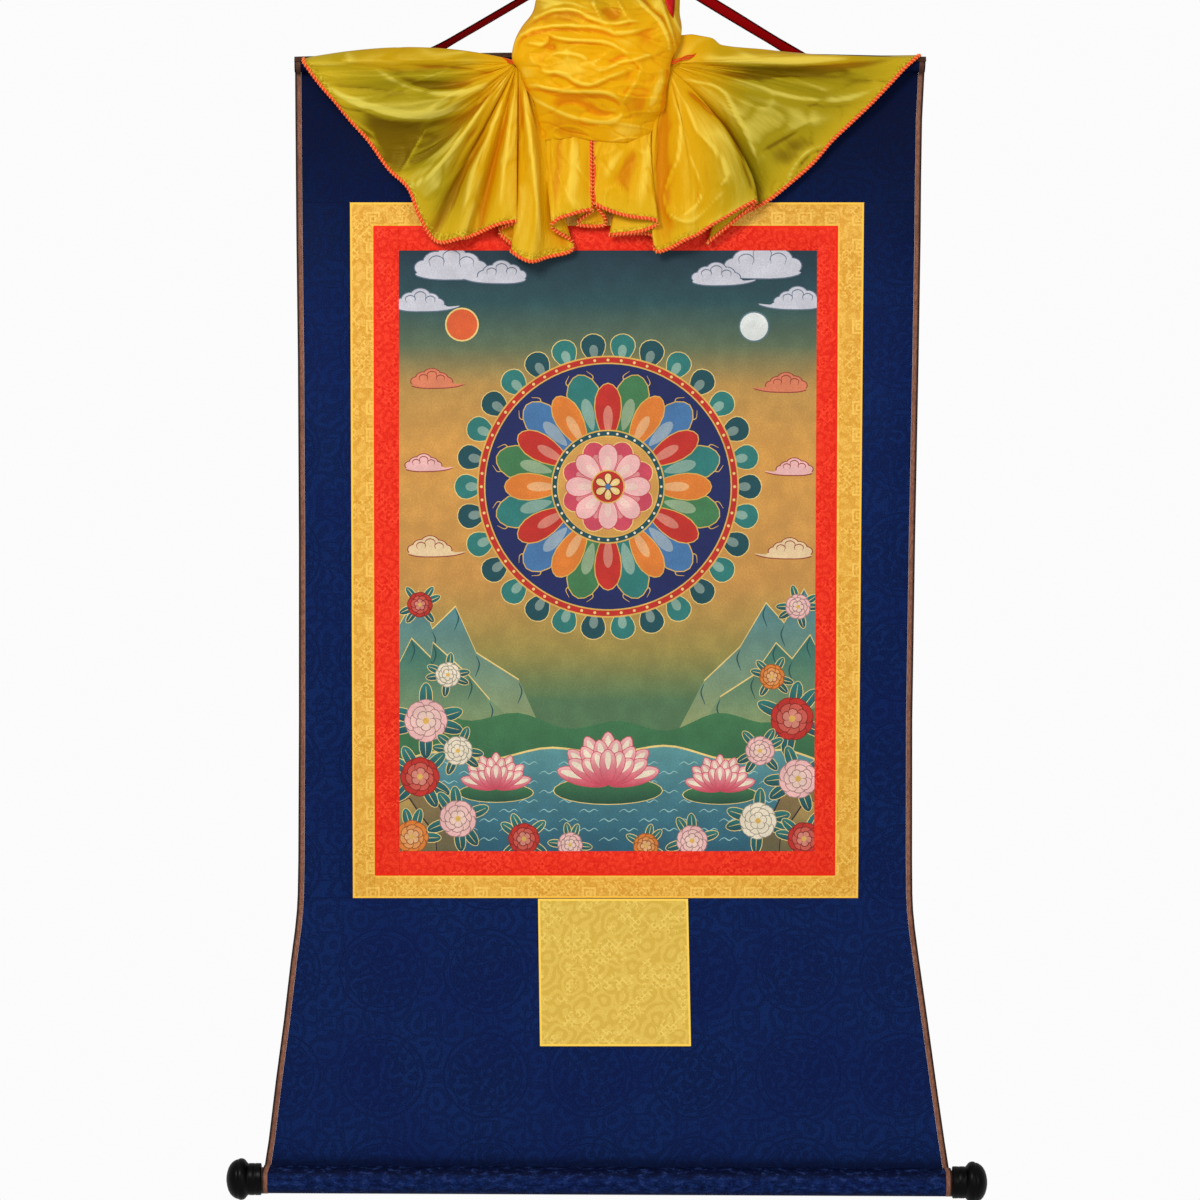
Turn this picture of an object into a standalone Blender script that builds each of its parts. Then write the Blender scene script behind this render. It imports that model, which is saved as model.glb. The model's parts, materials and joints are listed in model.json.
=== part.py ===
"""Thangka scroll painting: a picture in a gold and a red frame, mounted on blue brocade between two rods,
with a yellow satin cover bunched up over its heading and a red tape to hang it by.

Metres, +Z up, front towards -Y. The origin is where the tape lies on its hook.
Tables are in millimetres: x to the right, drop below the hook, out in front of the mount's front face.
"""

import math
from collections import namedtuple

import bmesh
import bpy
from mathutils import Vector

MM = 0.001

# Cloth and fits, mm
CLOTH = 1.5  # brocade with its paper backing
BINDING_CLOTH = 2.0  # the binding is folded, so it is thicker
COVER_CLOTH = 2.0
GAP = 0.3
BINDING_WIDTH = 6.0
SHEET_BEHIND = -1.65  # Y of the mount's middle plane
FRONT = SHEET_BEHIND - CLOTH / 2

# Rods and knobs, mm
TOP_ROD_RADIUS = 5.0
BOTTOM_ROD_RADIUS = 12.0
HEADING_DROP = 108.5  # top edge of the scroll at its corners
HEADING_CROWN = 4.5  # the top rod bows upwards between the tape's ends
KNOB_PROFILE = (  # distance from the inner face, radius
    (0.0, 15.4), (0.6, 16.0), (6.0, 16.0), (7.0, 15.5), (8.0, 16.0), (14.0, 16.0), (15.2, 18.0),
    (17.6, 20.2), (20.6, 20.8), (25.0, 19.6), (29.0, 16.9), (32.0, 12.9), (34.0, 7.4), (34.9, 0.0),
)

Outline = namedtuple("Outline", "drop left right")
OUTLINE = (  # side edges of the scroll, binding included
    Outline(100, -321, 309.5),
    Outline(171, -320.5, 306),
    Outline(231, -320, 305),
    Outline(291, -319.5, 304.5),
    Outline(411, -318, 302.5),
    Outline(591, -317, 299),
    Outline(771, -317, 296.2),
    Outline(911, -317.6, 296),
    Outline(945, -318.2, 296.3),
    Outline(961, -319, 297),
    Outline(981, -321, 299),
    Outline(1011, -325, 303),
    Outline(1071, -332, 311.5),
    Outline(1131, -340, 319.7),
    Outline(1191, -347.2, 328.3),
    Outline(1212, -349.7, 331.5),
    Outline(1222, -353.0, 334.6),
    Outline(1250, -353.4, 335.0),
)
KNOB_LEFT_X = -353.8
KNOB_RIGHT_X = 335.4
ROD_END_GAP = 0.3
AXIS_DROP_LEFT = 1228.5
AXIS_DROP_RIGHT = 1232.0

Corners = namedtuple("Corners", "top_left top_right bottom_right bottom_left")
GOLD_OUTER = Corners((-266, 253.5), (248, 253.5), (242, 949), (-263, 949))
RED_OUTER = Corners((-242.5, 277), (222, 277), (219, 926.5), (-241, 926.5))
PAINTING = Corners((-217, 301.7), (201, 301.7), (198, 902), (-216.5, 902))
DOOR = Corners((-78, 949.6), (72, 949.6), (75, 1097), (-76, 1097))
DOOR_CLOTH = 1.2

# The cover hangs in folds from two gathers on the heading and from its bunch between them.
Fold = namedtuple("Fold", "mid_x mid_drop mid_out hem_x hem_drop hem_out")
LEFT_GATHER = (-104, 113)
RIGHT_GATHER = (53, 115)
GATHER_RADIUS = 9.0
GATHER_OUT = 20.0
SEWN_OUT = 5.3  # the cover's sewn edge lies over the heading
PUFF_OUT = 12.0  # its slack over the heading
BUNCH_LINE = 181.0  # the middle folds start here, behind the bunch
LEFT_FOLDS = (
    Fold(-200, 100, 12, -313, 108.5, 12),
    Fold(-216, 112, 20, -312, 113, 17),
    Fold(-195, 121, 17.5, -307, 123, 16),
    Fold(-186, 129, 21.5, -302, 130, 15),
    Fold(-185, 139, 15.5, -295, 139, 13),
    Fold(-196, 155, 20, -288, 147, 12),
    Fold(-196, 168, 19, -280, 156, 11),
    Fold(-192, 181, 9.5, -266, 173, 7),
    Fold(-184, 194, 6.5, -248, 193, 5),
    Fold(-178, 200, 7.5, -228, 221, 5),
    Fold(-153, 185, 24, -208, 241, 12),
    Fold(-148, 203, 18, -197, 269, 12),
    Fold(-138, 193, 12, -180, 294, 8),
    Fold(-125, 191, 22, -156, 292, 18),
    Fold(-119, 201, 13, -142, 288, 9),
    Fold(-109, 201, 24, -118, 278, 20),
    Fold(-99, 201, 22, -99, 275, 18),
    Fold(-104, 201, 10, -117, 284, 8),
    Fold(-100, 206, 12, -102, 300, 10),
    Fold(-95, 211, 20, -104, 305, 16),
    Fold(-82, 211, 27, -86, 315, 22),
    Fold(-75, 206, 16, -68, 310, 12),
    Fold(-64, 216, 12, -45, 304, 9),
)
MIDDLE_FOLDS = (
    Fold(-63, 216, 12.5, -44, 294, 10),
    Fold(-70, 216, 17, -63, 282, 20),
    Fold(-65, 216, 20, -58, 273, 23),
    Fold(-50, 216, 19, -46, 268.5, 22),
    Fold(-36, 216, 17, -33, 264.6, 20),
    Fold(-25, 216, 15, -24.5, 263.7, 16),
    Fold(-32, 216, 9, -39, 277, 9),
    Fold(-14, 216, 8, -10, 277, 8),
    Fold(-21.5, 216, 14, -21, 257, 15),
    Fold(-18, 216, 16, -16, 260, 18),
    Fold(-4, 216, 19, -4, 265, 20),
    Fold(14, 216, 20, 14, 270, 21),
    Fold(29, 216, 20, 34, 272.5, 22),
    Fold(35, 216, 18, 42, 277, 20),
    Fold(24, 219, 12, 24, 284.5, 14),
    Fold(6, 219, 8, -7, 288, 9),
    Fold(29, 221, 8, 34, 287, 9),
)
RIGHT_FOLDS = (
    Fold(39, 216, 18, 39, 304, 14),
    Fold(45, 216, 15, 52, 302, 13),
    Fold(66, 201, 25, 68, 294, 22),
    Fold(74, 211, 21, 81, 287, 18),
    Fold(100, 216, 27, 100, 276, 22),
    Fold(117, 194, 26, 141, 254, 18),
    Fold(108, 194, 13, 104, 299, 9),
    Fold(114, 198, 9, 126, 265, 6),
    Fold(125, 205, 8, 150, 254.5, 6),
    Fold(126, 179, 17, 167, 242, 9),
    Fold(149, 169, 13, 196, 217, 8),
    Fold(164, 156, 17, 216, 194, 10),
    Fold(174, 144, 14, 236, 175, 11),
    Fold(179, 135, 20, 256, 156, 13),
    Fold(184, 128, 16, 274, 137, 14),
    Fold(184, 117, 22, 289, 121, 16),
    Fold(184, 109, 20, 298, 113, 17),
    Fold(184, 102.5, 12, 302, 108, 12),
)

Section = namedtuple("Section", "drop left right front back")
BUNCH = (  # level sections of the bunch, from the hook down to its rolled lower edge
    Section(4, -8, 8, 12, 6),
    Section(11, -22, 20, 17, 6),
    Section(23, -52, 44, 25, 6),
    Section(39, -74, 60, 33, 6),
    Section(51, -79, 63, 37, 6),
    Section(66, -83, 63, 41, 7),
    Section(81, -94, 65, 45, 9),
    Section(96, -101, 63, 47, 14),
    Section(113, -103, 55, 47, 17),
    Section(126, -95, 53, 46, 17),
    Section(141, -90, 50, 44, 16),
    Section(154, -82, 49, 41, 15),
    Section(171, -78, 46, 35, 14),
    Section(186, -75, 41, 29, 14),
    Section(193, -74, 38, 24, 14),
    Section(191, -70, 35, 19, 13),
    Section(185, -67, 32, 15, 12),
)
BUNCH_WRAP = math.radians(150)  # the bunch turns back this far each side, open behind
Crease = namedtuple("Crease", "height above below route")
CREASES = (  # folds of the bunch: height, how softly each falls on its two sides, its course in (x, drop)
    Crease(8, 10, 4, ((-101, 115), (-99, 94), (-88, 85), (-47, 88), (-13, 98), (15, 111))),
    Crease(6, 8, 4, ((-91, 96), (-68, 93), (-58, 106))),
    Crease(7, 9, 4, ((-82, 125), (-44, 132), (-30, 140), (-6, 134), (22, 120), (32, 112))),
    Crease(9, 9, 4, ((-98, 140), (-47, 146), (-6, 148), (5, 154), (6, 163), (-4, 177), (-20, 179))),
    Crease(5, 9, 5, ((-82, 152), (-47, 170), (-23, 175), (-13, 168), (5, 163))),
    Crease(6, 7, 4, ((-86, 78), (-47, 80), (-6, 86), (27, 77), (32, 68))),
    Crease(5, 6, 4, ((-4, 99), (13, 96), (32, 82), (40, 70))),
    Crease(5, 5, 4, ((5, 50), (6, 62), (12, 73), (27, 77))),
    Crease(4, 6, 4, ((-52, 46), (-20, 50), (-13, 60), (-13, 72))),
    Crease(6, 5, 4, ((22, 50), (35, 64), (48, 82), (54, 110))),
    Crease(6, 6, 5, ((8, 158), (22, 134), (26, 122), (44, 108))),
    Crease(5, 10, 9, ((34, 124), (38, 150), (30, 180))),
    Crease(-6, 6, 6, ((-76, 103), (-66, 102), (-56, 106))),
    Crease(-5, 7, 7, ((-12, 66), (-5, 70), (2, 66))),
    Crease(-5, 10, 8, ((-60, 158), (-30, 166), (-8, 158))),
)

# Hanging tape, mm: its route and how far it is turned from flat against the back to flat on the hook
TAPE_WIDTH = 11.5
TAPE_THICKNESS = 1.2
Stop = namedtuple("Stop", "x drop turn")
TAPE_ROUTE = (
    Stop(-224, 126.8, 0), Stop(-208, 117.5, 0), Stop(-192, 108.1, 0), Stop(-180, 101.1, 12),
    Stop(-168, 94.1, 36), Stop(-154, 85.9, 54), Stop(-140, 77.8, 60), Stop(-120, 66.1, 62),
    Stop(-97.6, 53.0, 62), Stop(-75, 39.8, 65), Stop(-50, 25.2, 72), Stop(-30, 13.5, 82),
    Stop(-12, 3.2, 90), Stop(-6, 0.9, 90), Stop(0, 0.2, 90), Stop(6, 0.9, 90), Stop(12, 3.4, 88),
    Stop(30, 14.2, 72), Stop(50, 26.4, 45), Stop(75, 41.5, 18), Stop(100, 56.7, 4),
    Stop(120, 68.8, 0), Stop(140, 81.0, 0), Stop(160, 93.1, 0), Stop(176, 102.8, 0),
    Stop(192, 112.5, 0), Stop(203, 119.2, 0), Stop(215, 126.5, 0),
)

# Colours, roughness and metallic value of each finish
FINISHES = {
    "blue_brocade": ((0.008, 0.016, 0.085), 0.7, 0.0),
    "brown_binding": ((0.2, 0.09, 0.06), 0.6, 0.0),
    "gold_brocade": ((0.83, 0.5, 0.09), 0.5, 0.0),
    "pale_gold_brocade": ((0.76, 0.53, 0.14), 0.5, 0.0),
    "red_brocade": ((0.85, 0.05, 0.01), 0.55, 0.0),
    "printed_picture": ((0.3, 0.28, 0.1), 0.6, 0.0),
    "yellow_satin": ((0.72, 0.42, 0.02), 0.35, 0.0),
    "red_tape": ((0.24, 0.005, 0.008), 0.6, 0.0),
    "black_lacquer": ((0.006, 0.005, 0.005), 0.3, 0.0),
    "dark_wood": ((0.05, 0.02, 0.015), 0.6, 0.0),
}


def at(x, drop, out=None, y=None):
    """A point in metres, from a place on the front of the mount, or from its own Y."""
    depth = FRONT - out if y is None else y
    return Vector((x, depth, -drop)) * MM


def steps(count):
    return [i / count for i in range(count + 1)]


def mix(a, b, t):
    return a + (b - a) * t


def smooth(points, t):
    """A point at t, from 0 to 1, on the smooth curve through evenly spaced vectors."""
    place = min(t * (len(points) - 1), len(points) - 1 - 1e-9)
    i = int(place)
    f = place - i
    b, c = points[i], points[i + 1]
    a = points[i - 1] if i else b * 2 - c
    d = points[i + 2] if i + 2 < len(points) else c * 2 - b
    return (b * 2 + (c - a) * f + (a * 2 - b * 5 + c * 4 - d) * f**2 + (b * 3 - a - c * 3 + d) * f**3) / 2


def side(rows, drop, column):
    """The value of a column of the outline at a drop, eased between its rows."""
    for above, below in zip(rows, rows[1:]):
        if drop <= below.drop:
            t = min(1, max(0, (drop - above.drop) / (below.drop - above.drop)))
            return mix(getattr(above, column), getattr(below, column), t)
    return getattr(rows[-1], column)


def knots(first, last):
    """The outline's own drops between two others."""
    return [row.drop for row in OUTLINE if first < row.drop < last]


def rod_axis_drop(x):
    return mix(AXIS_DROP_LEFT, AXIS_DROP_RIGHT, (x + 378) / 738)


def crown(x):
    """How far the bowed top rod lies above the corners."""
    return HEADING_CROWN * max(0.0, 1 - ((x + 6) / 315) ** 2)


def wrap_radius(rod_radius):
    return rod_radius + GAP + BINDING_CLOTH / 2


TOP_AXIS_DROP = HEADING_DROP + 1.3 + wrap_radius(TOP_ROD_RADIUS) + CLOTH / 2


# --- Blender helpers ---------------------------------------------------------------------------------

for old in list(bpy.data.objects):
    bpy.data.objects.remove(old)
scroll = bpy.data.collections.new("thangka_scroll_painting")
bpy.context.scene.collection.children.link(scroll)


def finish(name):
    material = bpy.data.materials.get(name)
    if material:
        return material
    colour, roughness, metallic = FINISHES[name]
    material = bpy.data.materials.new(name)
    material.use_nodes = True
    shader = material.node_tree.nodes["Principled BSDF"]
    shader.inputs["Base Color"].default_value = (*colour, 1)
    shader.inputs["Roughness"].default_value = roughness
    shader.inputs["Metallic"].default_value = metallic
    material.diffuse_color = (*colour, 1)
    return material


def add_object(name, data, material):
    obj = bpy.data.objects.new(name, data)
    obj.data.materials.append(finish(material))
    scroll.objects.link(obj)
    return obj


def thicken(obj, thickness, even):
    wall = obj.modifiers.new("cloth", "SOLIDIFY")
    wall.thickness = thickness * MM
    wall.offset = 0
    wall.use_even_offset = even


def loft(name, rows, material, thickness, even=True):
    """Cloth through rows of points, each row from left to right, the rows from top to bottom."""
    across = len(rows[0])
    points = [point for row in rows for point in row]
    faces = [
        (r * across + c, (r + 1) * across + c, (r + 1) * across + c + 1, r * across + c + 1)
        for r in range(len(rows) - 1)
        for c in range(across - 1)
    ]
    mesh = bpy.data.meshes.new(name)
    mesh.from_pydata(points, [], faces)
    obj = add_object(name, mesh, material)
    mesh.shade_smooth()
    thicken(obj, thickness, even)
    return obj


def inset(corners, distance):
    """The outline drawn in on every side. Corners run clockwise as seen from the front."""
    lines = []
    for (x0, d0), (x1, d1) in zip(corners, corners[1:] + corners[:1]):
        length = math.hypot(x1 - x0, d1 - d0)
        nx, nd = -(d1 - d0) / length, (x1 - x0) / length
        lines.append((nx, nd, nx * x0 + nd * d0 + distance))
    out = []
    for (ax, ad, ac), (bx, bd, bc) in zip(lines[-1:] + lines[:-1], lines):
        det = ax * bd - ad * bx
        out.append(((ac * bd - ad * bc) / det, (ax * bc - ac * bx) / det))
    return out


def flat_panel(name, corners, material, thickness=CLOTH, behind=SHEET_BEHIND, gap=GAP / 2):
    """A flat piece of cloth: its outline as a filled curve, standing upright."""
    curve = bpy.data.curves.new(name, "CURVE")
    curve.dimensions = "2D"
    curve.fill_mode = "BOTH"
    curve.extrude = thickness / 2 * MM
    drawn = inset(list(corners), gap)
    line = curve.splines.new("POLY")
    line.points.add(len(drawn) - 1)
    for point, (x, drop) in zip(line.points, drawn):
        point.co = (x * MM, -drop * MM, 0, 1)
    line.use_cyclic_u = True
    obj = add_object(name, curve, material)
    obj.rotation_euler.x = math.pi / 2
    obj.location.y = behind * MM
    return obj


# --- Rods and knobs ----------------------------------------------------------------------------------


def rod(name, stops, radius, material):
    curve = bpy.data.curves.new(name, "CURVE")
    curve.dimensions = "3D"
    curve.bevel_depth = radius * MM
    curve.bevel_resolution = 6
    curve.use_fill_caps = True
    line = curve.splines.new("POLY")
    line.points.add(len(stops) - 1)
    for point, stop in zip(line.points, stops):
        point.co = (*stop, 1)
    line.use_smooth = True
    return add_object(name, curve, material)


def bottom_axis_y():
    return SHEET_BEHIND - wrap_radius(BOTTOM_ROD_RADIUS)


def make_rods():
    y = SHEET_BEHIND - wrap_radius(TOP_ROD_RADIUS)
    ends = [mix(-319.5, 308.0, t) for t in steps(10)]
    rod("top_rod", [at(x, TOP_AXIS_DROP - crown(x), y=y) for x in ends], TOP_ROD_RADIUS, "dark_wood")
    ends = (KNOB_LEFT_X + ROD_END_GAP, KNOB_RIGHT_X - ROD_END_GAP)
    rod("bottom_rod", [at(x, rod_axis_drop(x), y=bottom_axis_y()) for x in ends],
        BOTTOM_ROD_RADIUS, "dark_wood")


def make_knob(name, x, outward):
    """Turned about Z with its inner face at the top, then laid along the rod."""
    mesh = bpy.data.meshes.new(name)
    profile = [(radius * MM, 0, -distance * MM) for distance, radius in KNOB_PROFILE]
    profile.insert(0, (0, 0, 0))
    mesh.from_pydata(profile, [(i, i + 1) for i in range(len(profile) - 1)], [])
    obj = add_object(name, mesh, "black_lacquer")
    turn = obj.modifiers.new("turned", "SCREW")
    turn.steps = turn.render_steps = 28
    turn.use_merge_vertices = True
    turn.merge_threshold = 0.00005
    turn.use_smooth_shade = True
    tilt = math.atan((AXIS_DROP_RIGHT - AXIS_DROP_LEFT) / 738)
    obj.rotation_euler.y = -outward * math.pi / 2 + tilt
    obj.location = at(x, rod_axis_drop(x), y=bottom_axis_y())
    return obj


# --- Mount -------------------------------------------------------------------------------------------


def wrap_turns(rod_radius, count):
    """Turns round a rod, from the sheet's plane until the cloth nearly meets itself again."""
    radius = wrap_radius(rod_radius)
    near = (radius - BINDING_CLOTH / 2 - 0.4) / (radius + BINDING_CLOTH / 2)
    last = 2 * math.pi - math.acos(near)
    return [last * t for t in steps(count)]


def heading_path(x, seam, count):
    """(drop, Y) down the cloth: round the top rod, then down the sheet to the seam."""
    radius = wrap_radius(TOP_ROD_RADIUS)
    axis = TOP_AXIS_DROP - crown(x)
    path = [(axis - radius * math.sin(turn), SHEET_BEHIND - radius * (1 - math.cos(turn)))
            for turn in reversed(wrap_turns(TOP_ROD_RADIUS, count))]
    return path + [(drop, SHEET_BEHIND) for drop in knots(HEADING_DROP + 20, seam) + [seam]]


def sleeve_path(x, seam, count):
    """(drop, Y) down the cloth: from the seam down the sheet, then round the bottom rod."""
    radius = wrap_radius(BOTTOM_ROD_RADIUS)
    axis = rod_axis_drop(x)
    path = [(axis + radius * math.sin(turn), SHEET_BEHIND - radius * (1 - math.cos(turn)))
            for turn in wrap_turns(BOTTOM_ROD_RADIUS, count)]
    return [(drop, SHEET_BEHIND) for drop in [seam] + knots(seam, AXIS_DROP_LEFT - 30)] + path


def panel_rows(make_path, seam, count, columns):
    """Rows across a full-width panel, from binding to binding."""
    rows = []
    margin = BINDING_WIDTH + GAP
    for k in range(len(make_path(0, seam, count))):
        row = []
        for t in steps(columns):
            x = mix(-310, 300, t)
            for _ in range(3):  # the width hangs on the drop, and the drop a little on x
                drop, y = make_path(x, seam, count)[k]
                x = mix(side(OUTLINE, drop, "left") + margin, side(OUTLINE, drop, "right") - margin, t)
            row.append(at(x, drop, y=y))
        rows.append(row)
    return rows


def binding_rows(column, inward):
    """Rows of an edge binding, down the whole side and round both rods."""
    edge = side(OUTLINE, HEADING_DROP, column)
    upper = heading_path(edge, GOLD_OUTER.top_left[1], 14)
    lower = sleeve_path(edge, GOLD_OUTER.bottom_left[1], 18)
    middle = [(drop, SHEET_BEHIND) for drop in knots(upper[-1][0], lower[0][0])]
    rows = []
    for drop, y in upper + middle + lower:
        x = side(OUTLINE, drop, column)
        ends = (x, x + inward * BINDING_WIDTH)
        rows.append([at(min(ends), drop, y=y), at(max(ends), drop, y=y)])
    return rows


def make_mount():
    loft("mount_top", panel_rows(heading_path, GOLD_OUTER.top_left[1] - GAP / 2, 14, 12),
         "blue_brocade", CLOTH)
    loft("mount_bottom", panel_rows(sleeve_path, GOLD_OUTER.bottom_left[1] + GAP / 2, 18, 2),
         "blue_brocade", CLOTH)
    loft("binding_left", binding_rows("left", 1), "brown_binding", BINDING_CLOTH)
    loft("binding_right", binding_rows("right", -1), "brown_binding", BINDING_CLOTH)
    top, bottom = GOLD_OUTER.top_left[1], GOLD_OUTER.bottom_left[1]
    drops = [top] + knots(top, bottom) + [bottom]
    margin = BINDING_WIDTH + GAP / 2
    left_edge = [(side(OUTLINE, drop, "left") + margin, drop) for drop in drops]
    right_edge = [(side(OUTLINE, drop, "right") - margin, drop) for drop in drops]
    flat_panel("mount_left", [left_edge[0], GOLD_OUTER.top_left, GOLD_OUTER.bottom_left]
               + left_edge[:0:-1], "blue_brocade")
    flat_panel("mount_right", [GOLD_OUTER.top_right] + right_edge + [GOLD_OUTER.bottom_right],
               "blue_brocade")


def make_heading_binding():
    """A strip of binding laid over the heading, from edge to edge."""
    thickness = 0.9
    radius = wrap_radius(TOP_ROD_RADIUS) + BINDING_CLOTH / 2 + GAP + thickness / 2
    rows = []
    for t in steps(8):
        turn = math.radians(mix(58, 158, t))
        y = SHEET_BEHIND - wrap_radius(TOP_ROD_RADIUS) + radius * math.cos(turn)
        row = []
        for s in steps(12):
            x = mix(-321, 309.4, s)
            row.append(at(x, TOP_AXIS_DROP - crown(x) - radius * math.sin(turn), y=y))
        rows.append(row)
    loft("binding_top", rows[::-1], "brown_binding", thickness)


def cross(corners, drop, which):
    """x of a frame outline's left or right side at a drop."""
    top, bottom = ((corners.top_left, corners.bottom_left) if which == "left"
                   else (corners.top_right, corners.bottom_right))
    return mix(top[0], bottom[0], (drop - top[1]) / (bottom[1] - top[1]))


def make_frame(name, outer, inner, material):
    """Four strips: the sides run the full height, the top and bottom lie between them."""
    top, bottom = outer.top_left[1], outer.bottom_left[1]
    inner_top, inner_bottom = inner.top_left[1], inner.bottom_left[1]
    x = {(d, w): cross(inner, d, w) for d in (top, inner_top, inner_bottom, bottom) for w in ("left", "right")}
    flat_panel(name + "_left", [outer.top_left, (x[top, "left"], top), (x[bottom, "left"], bottom),
                                outer.bottom_left], material)
    flat_panel(name + "_right", [(x[top, "right"], top), outer.top_right, outer.bottom_right,
                                 (x[bottom, "right"], bottom)], material)
    for end, high, low in (("_top", top, inner_top), ("_bottom", inner_bottom, bottom)):
        flat_panel(name + end, [(x[high, "left"], high), (x[high, "right"], high), (x[low, "right"], low),
                                (x[low, "left"], low)], material)


# --- Cover -------------------------------------------------------------------------------------------


def sewn_point(x):
    """Where the cover's edge is sewn along the heading."""
    return Vector((x, HEADING_DROP - crown(x) - GAP - COVER_CLOTH / 2, SEWN_OUT))


def gather_start(centre, degrees):
    turn = math.radians(degrees)
    return Vector((centre[0] + GATHER_RADIUS * math.cos(turn), centre[1] - GATHER_RADIUS * math.sin(turn),
                   GATHER_OUT))


def fold_lines():
    """The cover's folds from left to right, each as its start, middle and hem in (x, drop, out)."""
    lines = [(sewn_point(-116), sewn_point(-215), sewn_point(-314))]
    count = len(LEFT_FOLDS) - 1
    starts = [Vector((-115, 104, PUFF_OUT))]
    starts += [gather_start(LEFT_GATHER, mix(170, 292, i / (count - 1))) for i in range(count)]
    count = len(MIDDLE_FOLDS)
    starts += [Vector((mix(-64, 36, i / (count - 1)), BUNCH_LINE, 16.0)) for i in range(count)]
    count = len(RIGHT_FOLDS) - 1
    starts += [gather_start(RIGHT_GATHER, mix(-112, 12, i / (count - 1))) for i in range(count)]
    starts.append(Vector((76, 92, PUFF_OUT)))
    for start, fold in zip(starts, LEFT_FOLDS + MIDDLE_FOLDS + RIGHT_FOLDS):
        lines.append((start, Vector(fold[:3]), Vector(fold[3:])))
    lines.append((sewn_point(76), sewn_point(190), sewn_point(304)))
    return lines


def skirt_rows(down, between):
    """Rows of (x, drop, out) from the gathers down to the hem, with points between the folds."""
    rows = []
    for v in steps(down):
        line_points = []
        for start, middle, hem in fold_lines():
            pull = middle * 2 - (start + hem) / 2
            line_points.append(start * (1 - v) ** 2 + pull * 2 * v * (1 - v) + hem * v**2)
        count = (len(line_points) - 1) * between
        rows.append([smooth(line_points, i / count) for i in range(count + 1)])
    return rows


def crease_height(x, drop):
    """How far the creases push the bunch's front out at a place. Each fades towards its ends."""
    total = 0.0
    for crease in CREASES:
        nearest = (math.inf, 0.0, 0.0)
        spans = list(zip(crease.route, crease.route[1:]))
        for i, ((x0, drop0), (x1, drop1)) in enumerate(spans):
            along_x, along_drop = x1 - x0, drop1 - drop0
            t = ((x - x0) * along_x + (drop - drop0) * along_drop) / (along_x**2 + along_drop**2)
            t = min(1.0, max(0.0, t))
            distance = math.hypot(x - x0 - along_x * t, drop - drop0 - along_drop * t)
            turned = along_x * (drop - drop0) - along_drop * (x - x0)
            nearest = min(nearest, (distance, turned, (i + t) / len(spans)))
        distance, turned, place = nearest
        width = crease.below if turned > 0 else crease.above
        total += crease.height * math.sin(math.pi * place) ** 0.6 * math.exp(-((distance / width) ** 2))
    return total


def bunch_rows(down, around):
    """Rows of (x, drop, out) round the bunch, from the hook to its rolled lower edge."""
    sides = [Vector((section.left, section.right, section.front, section.back)) for section in BUNCH]
    drops = [Vector((section.drop, 0)) for section in BUNCH]
    rows = []
    for v in steps(down):
        left, right, front, back = smooth(sides, v)
        drop = smooth(drops, v).x
        middle_out = mix(back, front, 0.35)
        row = []
        for s in steps(around):
            turn = mix(-BUNCH_WRAP, BUNCH_WRAP, s)
            bow = math.copysign(abs(math.sin(turn)) ** 0.85, turn)
            x = (left + right) / 2 + (right - left) / 2 * bow
            face = math.cos(turn)
            out = middle_out + (front - middle_out if face > 0 else middle_out - back) * face
            out += crease_height(x, drop) * max(0.0, face) ** 0.5
            row.append(Vector((x, drop, out)))
        rows.append(row)
    return rows


def make_cover():
    """One cloth: its folds and its bunch, made one by a fine remesh and then thinned."""
    place = [[at(*point) for point in row] for row in skirt_rows(16, 3)]
    cover = loft("cover", place, "yellow_satin", COVER_CLOTH, even=False)
    place = [[at(*point) for point in row] for row in bunch_rows(72, 64)]
    bunch = loft("bunch", place, "yellow_satin", COVER_CLOTH, even=False)
    bpy.context.view_layer.update()
    graph = bpy.context.evaluated_depsgraph_get()
    joined = bpy.data.meshes.new("cover_joined")
    both = bmesh.new()
    for obj in (cover, bunch):
        both.from_mesh(obj.evaluated_get(graph).to_mesh())
    both.to_mesh(joined)
    both.free()
    joined.materials.append(finish("yellow_satin"))
    cover.modifiers.clear()
    cover.data = joined
    bpy.data.objects.remove(bunch)
    whole = cover.modifiers.new("one_cloth", "REMESH")
    whole.mode = "VOXEL"
    whole.voxel_size = 0.0011
    whole.adaptivity = 0
    thin = cover.modifiers.new("thinned", "DECIMATE")
    thin.ratio = 0.013
    return cover


# --- Hanging tape ------------------------------------------------------------------------------------


def make_tape():
    curve = bpy.data.curves.new("hanging_cord", "CURVE")
    curve.dimensions = "3D"
    curve.twist_mode = "Z_UP"
    curve.bevel_depth = TAPE_THICKNESS / 2 * MM
    curve.bevel_resolution = 2
    curve.extrude = (TAPE_WIDTH - TAPE_THICKNESS) / 2 * MM
    curve.use_fill_caps = True
    line = curve.splines.new("POLY")
    line.points.add(len(TAPE_ROUTE) - 1)
    for point, stop in zip(line.points, TAPE_ROUTE):
        point.co = (stop.x * MM, 0, -stop.drop * MM, 1)
        point.tilt = math.radians(stop.turn)
    return add_object("hanging_cord", curve, "red_tape")


make_rods()
make_knob("knob_left", KNOB_LEFT_X, -1)
make_knob("knob_right", KNOB_RIGHT_X, 1)
make_mount()
make_heading_binding()
make_frame("gold", GOLD_OUTER, RED_OUTER, "gold_brocade")
make_frame("red", RED_OUTER, PAINTING, "red_brocade")
flat_panel("painting", PAINTING, "printed_picture")
flat_panel("door", DOOR, "pale_gold_brocade", DOOR_CLOTH, FRONT - GAP - DOOR_CLOTH / 2, 0)
make_cover()
make_tape()
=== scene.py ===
"""Looks of the thangka scroll painting, over its solids: brocade, satin, tape, turned knobs, painted picture.

Tables are in millimetres, as in the solids: x to the right, drop below the hook, out in front of the mount.
"""

import json
import math
from collections import namedtuple

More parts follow.
